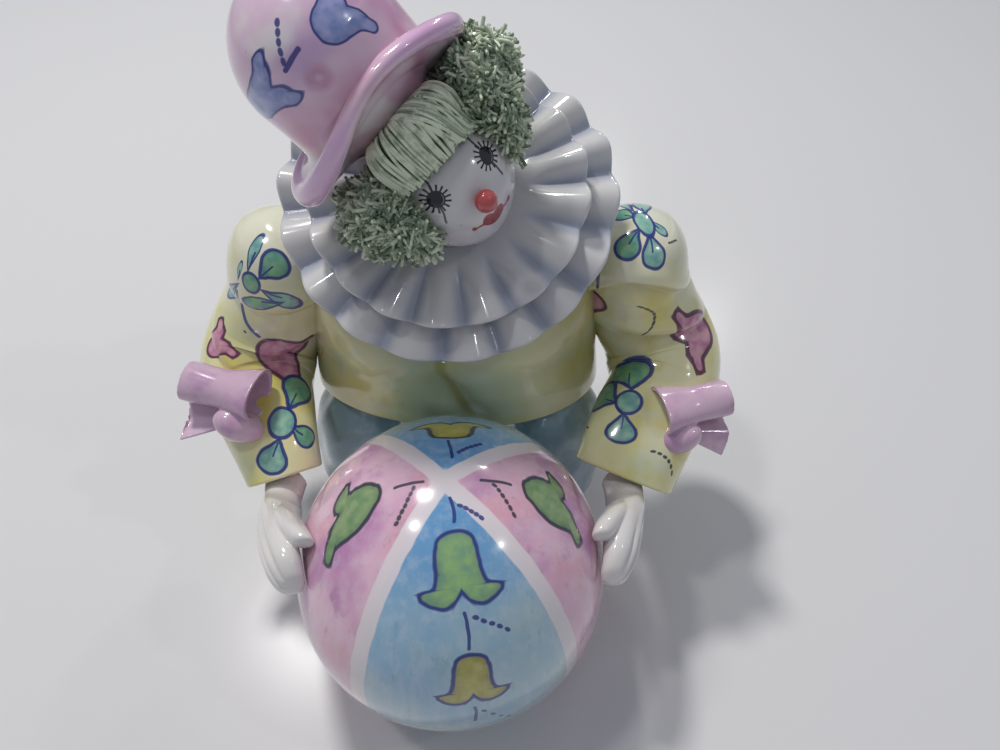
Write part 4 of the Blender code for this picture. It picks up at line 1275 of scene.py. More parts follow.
# %% The ruff tree
FLUTE_HEIGHT = 2.7 * MM
RUFF_INPUTS = (
    ("Flutes", 18.0), ("Phase", 0.35), ("Inner", 15.5 * MM), ("Rim", 57.5 * MM),
    ("Thickness", RUFF_THICKNESS), ("Flute Height", FLUTE_HEIGHT), ("Rise Inner", 0.0),
    ("Rise Rim", 0.0), ("Back Share", 0.82),
)
RUFF_POINTS = (541, 97)


def ruff_tree():
    tree = bpy.data.node_groups.new("pleated_ruff", "GeometryNodeTree")
    tree.interface.new_socket("Geometry", in_out="INPUT", socket_type="NodeSocketGeometry")
    for name, value in RUFF_INPUTS:
        socket = tree.interface.new_socket(name, in_out="INPUT", socket_type="NodeSocketFloat")
        socket.default_value = value
    tree.interface.new_socket("Finish", in_out="INPUT", socket_type="NodeSocketMaterial")
    tree.interface.new_socket("Geometry", in_out="OUTPUT", socket_type="NodeSocketGeometry")
    start = tree.nodes.new("NodeGroupInput")
    end = tree.nodes.new("NodeGroupOutput")
    value = {name: Wire(tree, start.outputs[name]) for name, _ in RUFF_INPUTS}
    grid = tree.nodes.new("GeometryNodeMeshGrid")
    grid.inputs["Size X"].default_value = 1
    grid.inputs["Size Y"].default_value = 1
    grid.inputs["Vertices X"].default_value = RUFF_POINTS[0]
    grid.inputs["Vertices Y"].default_value = RUFF_POINTS[1]
    place = tree.nodes.new("GeometryNodeInputPosition")
    u, v, _ = split(tree, Wire(tree, place.outputs[0]))
    angle = (u + 0.5) * (2 * math.pi)
    section = (v + 0.5) * (2 * math.pi)
    share = 0.5 - section.cos() * 0.5
    thin = value["Thickness"] / 2 / (value["Rim"] - value["Inner"])
    edge = (share.least(1 - share) / thin).most(0).least(1)
    round_edge = (1 - (1 - edge) * (1 - edge)).most(0).sqrt()
    side = round_edge * section.math("SIGN", section.sin())
    grow = share.ramp(0.15, 1.0) * 0.5 + share.ramp(0.1, 0.6) * 0.5
    drift = ((angle * 3 + value["Phase"] * 7).sin() + (angle * 5 + 1.3).sin()) * 0.05
    flute = (angle * value["Flutes"] / (2 * math.pi) + value["Phase"] + drift).fraction()
    ridge = (flute * math.pi).sin()
    uneven = 0.94 + 0.06 * (angle * 7 + value["Phase"] * 9).sin()
    round_top = ridge.abs().power(1.25)
    wave = (2 * round_top - 1) * value["Flute Height"] * grow * uneven
    behind = (0 - angle.sin()).most(0)
    reach = value["Rim"] * (1 - (1 - value["Back Share"]) * behind * behind)
    out = value["Inner"] + (reach - value["Inner"]) * share + 0.25 * wave
    lift = value["Rise Inner"] + (value["Rise Rim"] - value["Rise Inner"]) * share
    height = lift + wave + side * value["Thickness"] / 2
    x = out * angle.cos()
    forwards = out * angle.sin()
    y = forwards * float(RUFF_FRONT[1]) + height * float(RUFF_UP[1]) + float(RUFF_CENTRE[1])
    z = forwards * float(RUFF_FRONT[2]) + height * float(RUFF_UP[2]) + float(RUFF_CENTRE[2])
    valley = tree.nodes.new("GeometryNodeStoreNamedAttribute")
    valley.inputs["Name"].default_value = "valley"
    tree.links.new(grid.outputs["Mesh"], valley.inputs["Geometry"])
    put(tree, valley.inputs["Value"], wave / value["Flute Height"] * -0.5 + 0.5)
    move = tree.nodes.new("GeometryNodeSetPosition")
    tree.links.new(valley.outputs["Geometry"], move.inputs["Geometry"])
    put(tree, move.inputs["Position"], join(tree, x, y, z))
    weld = tree.nodes.new("GeometryNodeMergeByDistance")
    weld.inputs["Distance"].default_value = 0.005 * MM
    tree.links.new(move.outputs["Geometry"], weld.inputs["Geometry"])
    smooth = tree.nodes.new("GeometryNodeSetShadeSmooth")
    tree.links.new(weld.outputs["Geometry"], smooth.inputs["Geometry"])
    finish_tree(tree, start, smooth.outputs["Geometry"], end)
    return tree


def finish_tree(tree, start, geometry, end):
    """Every tree ends the same way: real geometry, then its material."""
    real = tree.nodes.new("GeometryNodeRealizeInstances")
    coat = tree.nodes.new("GeometryNodeSetMaterial")
    tree.links.new(geometry, real.inputs["Geometry"])
    tree.links.new(real.outputs["Geometry"], coat.inputs["Geometry"])
    tree.links.new(start.outputs["Finish"], coat.inputs["Material"])
    tree.links.new(coat.outputs["Geometry"], end.inputs["Geometry"])


# %% [markdown]
# `grow` puts a tree on a carrier object, sets its inputs by their identifiers before anything is
# evaluated, and keeps the result as a plain mesh. The upper ruff uses the same tree with a
# smaller rim, one flute fewer, and a seat on top of the lower ruff.

# %% Both ruffs


def grow(name, tree, inputs, base=None):
    """Run a tree with its inputs and keep the result as a plain mesh."""
    carrier = bpy.data.objects.new(name + "_carrier", base or bpy.data.meshes.new(name + "_empty"))
    bpy.context.scene.collection.objects.link(carrier)
    modifier = carrier.modifiers.new("grow", "NODES")
    modifier.node_group = tree
    for item in tree.interface.items_tree:
        if item.item_type == "SOCKET" and item.in_out == "INPUT" and item.name in inputs:
            modifier[item.identifier] = inputs[item.name]
    evaluated = carrier.evaluated_get(bpy.context.evaluated_depsgraph_get())
    mesh = bpy.data.meshes.new_from_object(evaluated)
    bpy.data.objects.remove(carrier)
    mesh.name = name
    bm = bmesh.new()
    bm.from_mesh(mesh)
    bmesh.ops.recalc_face_normals(bm, faces=bm.faces)
    bm.to_mesh(mesh)
    bm.free()
    made = bpy.data.objects.new(name, mesh)
    bpy.context.scene.collection.objects.link(made)
    return made


def paint_ruff():
    # painted shade: the ruff's ground and clouds are a greyer, bluer white than the hands', for the shade
    # it lies in
    glaze = paint_white("ruff_paint_with_shade", (188, 192, 204), (216, 214, 212))
    node = glaze.tree.nodes.new("ShaderNodeAttribute")
    node.attribute_name = "valley"
    deep = Wire(glaze.tree, node.outputs["Fac"])
    # the grey in the valleys is partly glaze pooled there, partly painted shade
    glaze.lay(tone(146, 156, 180), deep.ramp(0.30, 0.95) * 0.70)
    return glaze.finish()


ruff_rule = ruff_tree()
ruff_paint_with_shade = paint_ruff()
UPPER_SEAT = RUFF_THICKNESS + GAP
UPPER_RUFF = {
    "Flutes": 17.0, "Phase": 0.1, "Inner": 18.5 * MM, "Rim": 47 * MM, "Rise Inner": UPPER_SEAT,
    "Rise Rim": UPPER_SEAT + 2 * FLUTE_HEIGHT,
}
for name, node, changes in (
    ("ruff_pleated_lower", "ruff_lower", {}),
    ("ruff_pleated_upper", "ruff_upper", UPPER_RUFF),
):
    inputs = dict(RUFF_INPUTS, Finish=ruff_paint_with_shade)
    inputs.update(changes)
    settle(grow(name, ruff_rule, inputs), "white_glaze", node)

# %% [markdown]
# ## Head
# The head is a smooth ball of clay, a little longer to the chin, with a separate ball for the
# nose. Eyes and mouth are painted. It is made in its own frame, with -Y out of the face, Z to the
# crown and X to the right of someone who looks at the face, and then turned and leaned as a whole.

# %% Head and nose shapes
HEAD_HALF = 20 * MM
CHIN_DROP = 21.5 * MM
NOSE_RADIUS = 3.5 * MM
NOSE_DOWN = math.radians(11)
HEAD_FRAME = np.array(Euler((math.radians(-28.8), math.radians(-23.3), math.radians(36.4))).to_matrix())
HEAD_CENTRE = RUFF_CENTRE + np.array((2.2, -14.0, 14.7)) * MM
HAT_LEAN = np.array(Euler((math.radians(2.7), math.radians(-8.3), 0)).to_matrix())
HAT_FRAME = HEAD_FRAME @ HAT_LEAN


def head_place(local):
    return HEAD_CENTRE + np.asarray(local) @ HEAD_FRAME.T


def hat_place(local):
    return HEAD_CENTRE + np.asarray(local) @ HAT_FRAME.T


def head_rings(rows=90, count=128):
    polar = np.linspace(0.01, math.pi - 0.01, rows)[:, None]
    angle = turns(count)[None, :]
    x = np.sin(polar) * np.cos(angle)
    y = np.sin(polar) * np.sin(angle)
    z = np.cos(polar) + 0 * angle
    narrow = 1 - 0.10 * smoothstep(0.3, 1.0, -z)
    drop = np.where(z < 0, CHIN_DROP, HEAD_HALF)
    local = np.stack([x * HEAD_HALF * narrow, y * HEAD_HALF * narrow, z * drop], axis=-1)
    return head_place(local)


def nose_rings():
    out = HEAD_HALF * 1.005 + GAP + NOSE_RADIUS
    local = egg_rings((NOSE_RADIUS,) * 3, 32, 48)
    return head_place(local + np.array((0, -out * math.cos(NOSE_DOWN), -out * math.sin(NOSE_DOWN))))


head = settle(loft("head_formed", head_rings()), "white_glaze", "head")
nose = settle(loft("nose_formed", nose_rings()), "red_glaze", "nose")

# %% [markdown]
# The eyes are black discs ringed with short lashes, with a longer stroke above and below. The mouth
# is a thin smile with a dot at each end and full lips in the middle. They are worked out in head
# coordinates, in millimetres: a Mapping node undoes the head's turn, so the formulas use sideways
# and up across the face.

# %% Face paint
FACE_BLACK = tone(24, 24, 34)
LIP_RED = tone(158, 52, 60)
# each eye's place sideways and the lean of the stroke through it
EYES = ((-10.1, 0.20), (9.6, -0.12))
EYE_HEIGHT = 3.6
EYE_RADIUS = 2.6
LASHES = 15
LASH_REACH = 4.3
LIPS = (1.2, -12.7)
SMILE_HALF = 7.1


def paint_face():
    # painted shade: the face's ground and clouds are a greyer, bluer white than the hands', for the shade
    # under the hat
    glaze = paint_white("face_paint", (192, 194, 210), (216, 214, 214))
    tree = glaze.tree
    turn = Matrix(HEAD_FRAME.tolist()).to_euler()
    x, y, z = split(tree, glaze.spot(HEAD_CENTRE.tolist(), turn, (MM, MM, MM)))
    front = (0 - y).above(0)
    blush = noise(tree, glaze.place, 70, 2.0).ramp(0.45, 0.7)
    glaze.lay(tone(222, 196, 214), blush * z.ramp(-2, -8) * 0.35)
    for middle, lean in EYES:
        across = x - middle
        up = z - EYE_HEIGHT
        reach = (across * across + up * up).sqrt()
        angle = across.math("ARCTAN2", across, up)
        glaze.lay(FACE_BLACK, reach.ramp(EYE_RADIUS + 0.15, EYE_RADIUS - 0.15) * front)
        between = 2 * math.pi / LASHES
        lash = ((angle * (1 / between)).fraction() - 0.5).abs() * reach * between
        length = reach.ramp(LASH_REACH + 0.2, LASH_REACH - 0.2) * reach.above(2)
        thick = reach * 0.055 + 0.10
        glaze.lay(FACE_BLACK, ((thick - lash) / 0.12 + 0.5).most(0).least(1) * length * front)
        line = (across - up * lean).abs().ramp(0.42, 0.22) * up.abs().ramp(8.4, 7.6)
        glaze.lay(FACE_BLACK, line * front * 0.9)
        shine = (reach - 2.0).abs().ramp(0.16, 0.06) * across.above(0.2) * (0.4 - up).above(0)
        glaze.lay(tone(170, 176, 190), shine * front * 0.7)
    across = x - LIPS[0]
    wide = across.abs()
    smile = z - LIPS[1] - across * across * 0.022
    line = smile.abs().ramp(0.50, 0.26) * wide.ramp(SMILE_HALF + 0.2, SMILE_HALF - 0.1)
    lobes = 1.2 + 1.35 * ((wide - 2.1) * 0.62).cos() - wide.ramp(3.6, 5.2) * 2.4
    full = 2.3 - across * across * 0.11
    upper = ((lobes - smile) / 0.25 + 0.5).most(0).least(1)
    lower = ((smile + full) / 0.25 + 0.5).most(0).least(1)
    lips = upper * lower * wide.ramp(4.9, 4.6)
    beside = wide - SMILE_HALF
    dot = (beside * beside + smile * smile).sqrt().ramp(0.95, 0.65)
    red = (line.most(lips).most(dot) * front).least(1)
    glaze.lay(LIP_RED, red)
    glaze.lay(tone(120, 34, 44), red * noise(tree, glaze.place, 600, 2.0).ramp(0.45, 0.65) * 0.5)
    head.data.materials.append(glaze.finish())
    print("face painted, nodes", len(tree.nodes))


paint_face()

red_glaze = Glaze("nose_paint", tone(196, 84, 84), roughness=0.12)
red_glaze.cloud(tone(168, 52, 60), 160, 0.4, 0.7, 0.8)
nose.data.materials.append(red_glaze.finish())

# %% [markdown]
# ## Hat
# A bowler turned about its own axis: crown, a hollow where crown meets brim, and a thick rolled
# brim. The brim's sides reach out further and its front curls up against the crown. One profile,
# from the crown's top to the socket that sits on the hair, is turned round; each point also says
# how much it takes part in the brim's sway. A small button of clay is then pressed into the crown:
# the points near it sink into a dimple and rise again in its middle.

# %% Hat shape
CROWN_HALF = 24.7 * MM
CROWN_MIDDLE = 53.5 * MM
BRIM_UNDER = 29 * MM
BRIM_FRONT_RISE = 8 * MM
BRIM_HALF = 30 * MM
BRIM_FLARE = 4.5 * MM
BRIM_CURL = 3 * MM
BRIM_HOLLOW = 9.5 * MM
LIP = 7.5 * MM
HAIR_TOP = 30 * MM
HAIR_HALF = 27 * MM
SOCKET_HALF = 14 * MM
UNDER_BRIM = 26.6 * MM
BUTTON_SEEN = (318.7, 78)
BUTTON_HEIGHT = 1.3
DIMPLE_DEPTH = 1.5


def hat_profile():
    """Distance from the axis, height, share of the brim's flare and of the hollow under its front."""
    points = []
    for step in np.linspace(5.6, 0, 12):
        angle = math.pi / 2 * step / 6
        points.append((CROWN_HALF * math.cos(angle), CROWN_MIDDLE + CROWN_HALF * math.sin(angle), 0, 0))
    points.append((CROWN_HALF * 0.98, BRIM_UNDER + LIP * 1.9, 0, 0))
    points.append((CROWN_HALF * 0.93, BRIM_UNDER + LIP * 1.1, 0.3, 0))
    lip = BRIM_HALF - LIP / 2
    points.append((lip - LIP * 0.25, BRIM_UNDER + LIP * 0.9, 0.8, 0))
    for step in range(9):
        angle = math.pi / 2 - math.pi * step / 8
        points.append((lip + LIP / 2 * math.cos(angle), BRIM_UNDER + LIP / 2 * (1 + math.sin(angle)), 1, 0))
    points.append((SOCKET_HALF * 1.3, UNDER_BRIM, 0, 1))
    return np.array(points)


def hat_rings(count=320):
    profile = blend_rows(hat_profile(), 6)
    angle = turns(count)
    front = np.maximum(np.cos(angle), 0)
    side = np.sin(angle) ** 2
    rings = []
    for distance, height, flare, hollow in profile:
        sway = BRIM_FLARE * 1.3 * side - 3.2 * MM * front ** 2 + 0.6 * MM * np.sin(3 * angle + 0.6)
        out = distance + flare * sway
        thin = 1 - 0.32 * front ** 2
        above = height - BRIM_UNDER
        brim = np.where(flare > 0.5, above * thin, above)
        curl = (BRIM_FRONT_RISE + BRIM_CURL) * front ** 1.6
        rise = flare * (curl - 2 * MM * side + 0.9 * MM * np.sin(2 * angle))
        high = BRIM_UNDER + brim + rise + hollow * BRIM_HOLLOW * front
        rings.append(hat_place(np.stack([out * np.sin(angle), -out * np.cos(angle), high], -1)))
    for share in (1.0, 0.66, 0.33):
        out = SOCKET_HALF * share
        height = HAIR_TOP * math.sqrt(1 - (out / HAIR_HALF) ** 2) + GAP * 1.5
        rings.append(hat_place(np.stack([out * np.sin(angle), -out * np.cos(angle),
                                         np.full(count, height)], -1)))
    return rings


def press_button(piece, pixel):
    """A small button of clay in a dimple pressed into the crown."""
    sight = pixel_ray(*pixel)
    middle, normal, _, _ = tree_of(piece).ray_cast(camera.location, sight)
    for vertex in piece.data.vertices:
        far = (vertex.co - middle).length / MM
        if far < 9:
            lift = BUTTON_HEIGHT * math.exp(-(far / 1.2) ** 2) - DIMPLE_DEPTH * math.exp(-(far / 3.0) ** 2)
            vertex.co += normal * lift * MM
    return middle


hat = loft("hat_formed", hat_rings())
BUTTON = press_button(hat, BUTTON_SEEN)
settle(hat, "pink_glaze", "hat")

# %% [markdown]
# The hat's glaze is pink and mauve clouds on near white, darker in the groove above the brim. The
# groove and the brim are found by distance from the axis and height, in the hat's own frame.

# %% Hat paint
HAT_PAINT = (
    ("blossom", (347, 5), (317, 41), 0.95, TULIP_BLUE, INK_BLUE, 0.05),
    ("blossom", (271, 86), (256, 114), 0.50, TULIP_BLUE, INK_BLUE, 0.06),
    ("stroke", (277, 17.4), (284, 67), INK_BLUE, 1.5, 0.04, 5),
    ("stroke", (285, 70.5), (298, 48.8), INK_BLUE, 1.4),
)


def paint_hat():
    glaze = Glaze("hat_paint", tone(230, 198, 218))
    tree = glaze.tree
    glaze.cloud(tone(214, 152, 188), 30, 0.44, 0.66, 0.9)
    glaze.cloud(tone(186, 148, 204), 38, 0.54, 0.72, 0.55)
    glaze.cloud(tone(238, 230, 230), 44, 0.44, 0.64, 0.9)
    turn = Matrix(HAT_FRAME.tolist()).to_euler()
    x, y, z = split(tree, glaze.spot(HEAD_CENTRE.tolist(), turn, (MM, MM, MM)))
    out = (x * x + y * y).sqrt()
    groove = z.ramp(52, 42) * out.ramp(29, 25)
    glaze.lay(tone(196, 112, 148), groove * noise(tree, glaze.place, 60, 2.0).ramp(0.3, 0.65) * 0.75)
    glaze.lay(tone(222, 176, 216), out.ramp(26.5, 29) * z.ramp(50, 44) * 0.8)
    decorate(Brush(glaze, hat), HAT_PAINT)
    length = tree.nodes.new("ShaderNodeVectorMath")
    length.operation = "LENGTH"
    put(tree, length.inputs[0], glaze.spot(list(BUTTON), (0, 0, 0), (MM, MM, MM)))
    from_button = Wire(tree, length.outputs["Value"])
    glaze.lay(tone(186, 108, 142), (from_button - 2.2).abs().ramp(2.6, 0.4) * 0.45)
    hat.data.materials.append(glaze.finish())
    print("hat painted, nodes", len(tree.nodes))


paint_hat()

# %% [markdown]
# ## Hair
# Rolled clay strands, about a millimetre thick. In front they are combed from under the brim to
# the brow; over the ears they are short, curly and heaped. A low cap closes the gaps beneath; its dark
# colour is painted shade between the strands.
# `hair_dome` gives how far the hair stands from the head's middle in every direction, and both the
# cap and the fringe use its rule.

# %% Hair cap
# angles are measured at the head's middle, from the crown down
BROW_ANGLE = 64
BEND_ANGLE = 42
BACK_ANGLE = 36
CAP_SHORTER = 7
CAP_LOWER = 2.2 * MM
HAIR_FLOOR = HEAD_HALF + GAP + 0.7 * MM
HAIR_EDGE = HEAD_HALF + 3.6 * MM
SWELL = 7.5 * MM
SWELL_RISE = (0.30, 0.60)
SWELL_FALL = (1.04, 0.62)


def hair_dome(polar, turn):
    """The combed hair's surface; it swells in front, up to the curled brim."""
    full = HAIR_HALF * HAIR_TOP / np.hypot(HAIR_TOP * np.sin(polar), HAIR_HALF * np.cos(polar))
    bend = smoothstep(math.radians(BEND_ANGLE), math.radians(BROW_ANGLE), polar)
    swell = smoothstep(*SWELL_RISE, polar) * smoothstep(*SWELL_FALL, polar)
    return full + (HAIR_EDGE - full) * bend + SWELL * swell * np.maximum(np.cos(turn), 0)


def polar_place(distance, polar, turn):
    return hat_place(np.stack([distance * np.sin(polar) * np.sin(turn),
                               -distance * np.sin(polar) * np.cos(turn),
                               distance * np.cos(polar)], -1))


def cap_rings(count=120):
    turn = turns(count)
    away = np.abs((np.degrees(turn) + 180) % 360 - 180)
    in_front = 1 - smoothstep(46, 55, away)
    reach = np.radians(BACK_ANGLE + (BROW_ANGLE - BACK_ANGLE) * in_front - CAP_SHORTER)
    rings = []
    for share in np.linspace(0.02, 1, 24):
        polar = reach * share
        rings.append(polar_place(hair_dome(polar, turn) - CAP_LOWER, polar, turn))
    for share in np.linspace(1, 0.02, 8):
        polar = reach * share
        rings.append(polar_place(HAIR_FLOOR + 0 * polar, polar, turn))
    return rings


def paint_hair(name, light, dark):
    glaze = Glaze(name, light, roughness=0.35, coat=0.3, speck=0.0, wave=0.05)
    node = glaze.tree.nodes.new("ShaderNodeAttribute")
    node.attribute_name = "depth_shade_and_random_tone"
    own = Wire(glaze.tree, node.outputs["Fac"])
    # painted shade: the stored number darkens deep fringe strands; on the curls it darkens them at random
    glaze.lay(dark, own.ramp(0.25, 0.85) * 0.9)
    glaze.cloud(dark, 260, 0.46, 0.70, 0.6)
    glaze.cloud(tone(226, 230, 208), 360, 0.55, 0.75, 0.6)
    return glaze.finish()


fringe_paint = paint_hair("fringe_paint", tone(226, 234, 206), tone(112, 134, 108))
# painted shade: the cap and the tuft bases are painted dark, for the shade between the strands
hair_shade_paint = paint_hair("hair_shade_paint", tone(78, 96, 80), tone(48, 62, 54))
cap = settle(loft("hair_cap", cap_rings()), "hair_clay", "hair_front")
cap.data.materials.append(hair_shade_paint)

# %% [markdown]
# The fringe: Geometry Nodes lay one curve for each strand. Each point of a strand knows its strand
# number and how far along it is; a formula puts it on the dome of the head. Each strand draws its
# own spread, drift, length and depth from a fixed seed, and some on the right cross the others.
# A small profile circle turns the curves into rolled clay. How deep a strand lies is stored on its
# points, and the paint darkens the deep ones as painted shade.

# %% The fringe tree
FRINGE_INPUTS = (
    ("Strands", 120), ("Strand Radius", 0.48 * MM), ("Spread", 50.0), ("Start Angle", 22.0),
    ("Brow Angle", 58.8), ("Seed", 4),
)


def store_shade_and_tone(tree, geometry, value, domain="POINT"):
    """Keep a number from 0 to 1 on the strands, which the paint reads."""
    node = tree.nodes.new("GeometryNodeStoreNamedAttribute")
    node.domain = domain
    node.inputs["Name"].default_value = "depth_shade_and_random_tone"
    tree.links.new(geometry, node.inputs["Geometry"])
    put(tree, node.inputs["Value"], value)
    return node.outputs["Geometry"]


def fringe_tree():
    tree = bpy.data.node_groups.new("combed_fringe", "GeometryNodeTree")
    tree.interface.new_socket("Geometry", in_out="INPUT", socket_type="NodeSocketGeometry")
    for name, value in FRINGE_INPUTS:
        kind = "NodeSocketInt" if isinstance(value, int) else "NodeSocketFloat"
        socket = tree.interface.new_socket(name, in_out="INPUT", socket_type=kind)
        socket.default_value = value
    tree.interface.new_socket("Finish", in_out="INPUT", socket_type="NodeSocketMaterial")
    tree.interface.new_socket("Geometry", in_out="OUTPUT", socket_type="NodeSocketGeometry")
    start = tree.nodes.new("NodeGroupInput")
    end = tree.nodes.new("NodeGroupOutput")
    value = {name: Wire(tree, start.outputs[name]) for name, _ in FRINGE_INPUTS}
    roots = tree.nodes.new("GeometryNodeMeshLine")
    put(tree, roots.inputs["Count"], value["Strands"])
    roots.inputs["Offset"].default_value = (1, 0, 0)
    strand = tree.nodes.new("GeometryNodeCurvePrimitiveLine")
    strand.inputs["Start"].default_value = (0, 0, 0)
    strand.inputs["End"].default_value = (0, 1, 0)
    fine = tree.nodes.new("GeometryNodeResampleCurve")
    fine.inputs["Count"].default_value = 22
    tree.links.new(strand.outputs[0], fine.inputs["Curve"])
    copies = tree.nodes.new("GeometryNodeInstanceOnPoints")
    tree.links.new(roots.outputs["Mesh"], copies.inputs["Points"])
    tree.links.new(fine.outputs["Curve"], copies.inputs["Instance"])
    real = tree.nodes.new("GeometryNodeRealizeInstances")
    tree.links.new(copies.outputs["Instances"], real.inputs["Geometry"])
    place = tree.nodes.new("GeometryNodeInputPosition")
    number, along, _ = split(tree, Wire(tree, place.outputs[0]))
    number = number.math("ROUND", number)

    def chance(low, high, salt):
        node = tree.nodes.new("FunctionNodeRandomValue")
        node.inputs[2].default_value = low
        node.inputs[3].default_value = high
        put(tree, node.inputs["ID"], number)
        put(tree, node.inputs["Seed"], value["Seed"] + salt)
        return Wire(tree, node.outputs[1])

    share = number / (value["Strands"] - 1) * 2 - 1
    degrees = share * value["Spread"] + chance(-1.6, 1.6, 1)
    crossing = share.above(0.30) * chance(0.0, 1.0, 6).above(0.45)
    sweep = crossing * (1 - along) * -30
    drift = chance(-7.0, 7.0, 2) * (along - 0.4) + (along * 5 + chance(0.0, 6.0, 7)).sin() * 0.9
    turn = (degrees + drift + sweep) * (math.pi / 180)
    last = value["Brow Angle"] + chance(-2.5, 0.6, 3) + (share - 0.35).most(0) * 9
    first = value["Start Angle"] + chance(-2.0, 3.0, 4)
    polar = (first + (last - first) * along) * (math.pi / 180)
    flat = HAIR_TOP * polar.sin()
    tall = HAIR_HALF * polar.cos()
    full = (HAIR_HALF * HAIR_TOP) / (flat * flat + tall * tall).sqrt()
    bend = polar.ramp(math.radians(BEND_ANGLE), math.radians(BROW_ANGLE))
    swell = polar.ramp(*SWELL_RISE) * polar.ramp(*SWELL_FALL) * turn.cos().most(0)
    dome = full + (HAIR_EDGE - full) * bend + swell * SWELL
    layer = chance(0.0, 1.0, 5)
    sunk = layer * layer * 2.0 * MM * (1 - crossing)
    distance = dome - value["Strand Radius"] * 1.1 - sunk + crossing * 0.2 * MM
    x = distance * polar.sin() * turn.sin()
    y = 0 - distance * polar.sin() * turn.cos()
    z = distance * polar.cos()
    world = []
    for axis in range(3):
        row = [float(v) for v in HAT_FRAME[axis]]
        world.append(x * row[0] + y * row[1] + z * row[2] + float(HEAD_CENTRE[axis]))
    tinted = store_shade_and_tone(tree, real.outputs["Geometry"], layer)
    move = tree.nodes.new("GeometryNodeSetPosition")
    tree.links.new(tinted, move.inputs["Geometry"])
    put(tree, move.inputs["Position"], join(tree, *world))
    thick = tree.nodes.new("GeometryNodeSetCurveRadius")
    tree.links.new(move.outputs["Geometry"], thick.inputs["Curve"])
    put(tree, thick.inputs["Radius"], along.ramp(1.05, 0.8) * 0.45 + 0.55)
    profile = tree.nodes.new("GeometryNodeCurvePrimitiveCircle")
    profile.inputs["Resolution"].default_value = 8
    put(tree, profile.inputs["Radius"], value["Strand Radius"])
    tube = tree.nodes.new("GeometryNodeCurveToMesh")
    tree.links.new(thick.outputs["Curve"], tube.inputs["Curve"])
    tree.links.new(profile.outputs["Curve"], tube.inputs["Profile Curve"])
    tube.inputs["Fill Caps"].default_value = True
    radius = tree.nodes.new("GeometryNodeInputRadius")
    tree.links.new(radius.outputs[0], tube.inputs["Scale"])
    smooth = tree.nodes.new("GeometryNodeSetShadeSmooth")
    tree.links.new(tube.outputs["Mesh"], smooth.inputs["Geometry"])
    finish_tree(tree, start, smooth.outputs["Geometry"], end)
    return tree


fringe = grow("hair_fringe", fringe_tree(), dict(FRINGE_INPUTS, Finish=fringe_paint))
settle(fringe, "hair_clay")

# %% [markdown]
# The tufts over the ears start as a lumpy clay base that lies on the head and stays under the
# brim. It is a patch of a dome, between two angles round the head and two from the crown down,
# with an outer and an inner skin.

# %% Tuft base
TUFT_TURNS = (52, 112)
TUFT_POLARS = (38, 104)
# how far each tuft's top is from the head's middle, and its angle from the crown
TUFT_PEAKS = {-1: (38, 64), 1: (45, 56)}
TUFT_EDGE = 28
BASE_LOWER = 2.2 * MM


def tuft_rings(sign, shrink, count=26):
    """One closed skin: the outer grid, then back along the inner grid, row by row."""
    u = np.linspace(0, 1, count)
    rings = []
    for v in np.linspace(0, 1, count):
        degrees = TUFT_POLARS[0] + (TUFT_POLARS[1] - TUFT_POLARS[0]) * v
        polar = np.full(count, math.radians(degrees))
        turn = np.radians(TUFT_TURNS[0] + (TUFT_TURNS[1] - TUFT_TURNS[0]) * u) * sign
        peak, place = TUFT_PEAKS[sign]
        outer = (TUFT_EDGE + (peak - TUFT_EDGE) * math.exp(-((degrees - place) / 24) ** 2)) * MM
        floor = HAIR_FLOOR + (CHIN_DROP - HEAD_HALF) * smoothstep(0.5, 0.9, v)
        round_off = (1 - np.abs(2 * u - 1) ** 3) ** 0.5 * (1 - abs(2 * v - 1) ** 4) ** 0.5
        lump = 1 + 0.10 * np.sin(9 * u + 4 * v) * np.cos(11 * v - 3 * u)
        height = (outer - floor) * (0.25 + 0.75 * round_off) * lump - shrink
        under_brim = (BRIM_UNDER - 2 * GAP) / np.maximum(np.cos(polar), 0.1) - shrink
        high = np.minimum(floor + np.maximum(height, 0.5 * MM), under_brim)
        low = floor + 0 * high
        rings.append(np.concatenate([polar_place(high, polar, turn), polar_place(low, polar, turn)[::-1]]))
    return rings


# %% [markdown]
# The base carries many short bent strands. Points are scattered over it, and each carries one
# small strand of a few dozen faces with its own size. A slow noise leans neighbours the same way,
# so the strands gather in tangled clumps, and a random turn is added for each.

# %% The curl tree
CURL_INPUTS = (
    ("Strands Per Area", 0.95e6), ("Strand Length", 7.4 * MM), ("Strand Radius", 0.52 * MM), ("Seed", 7),
)


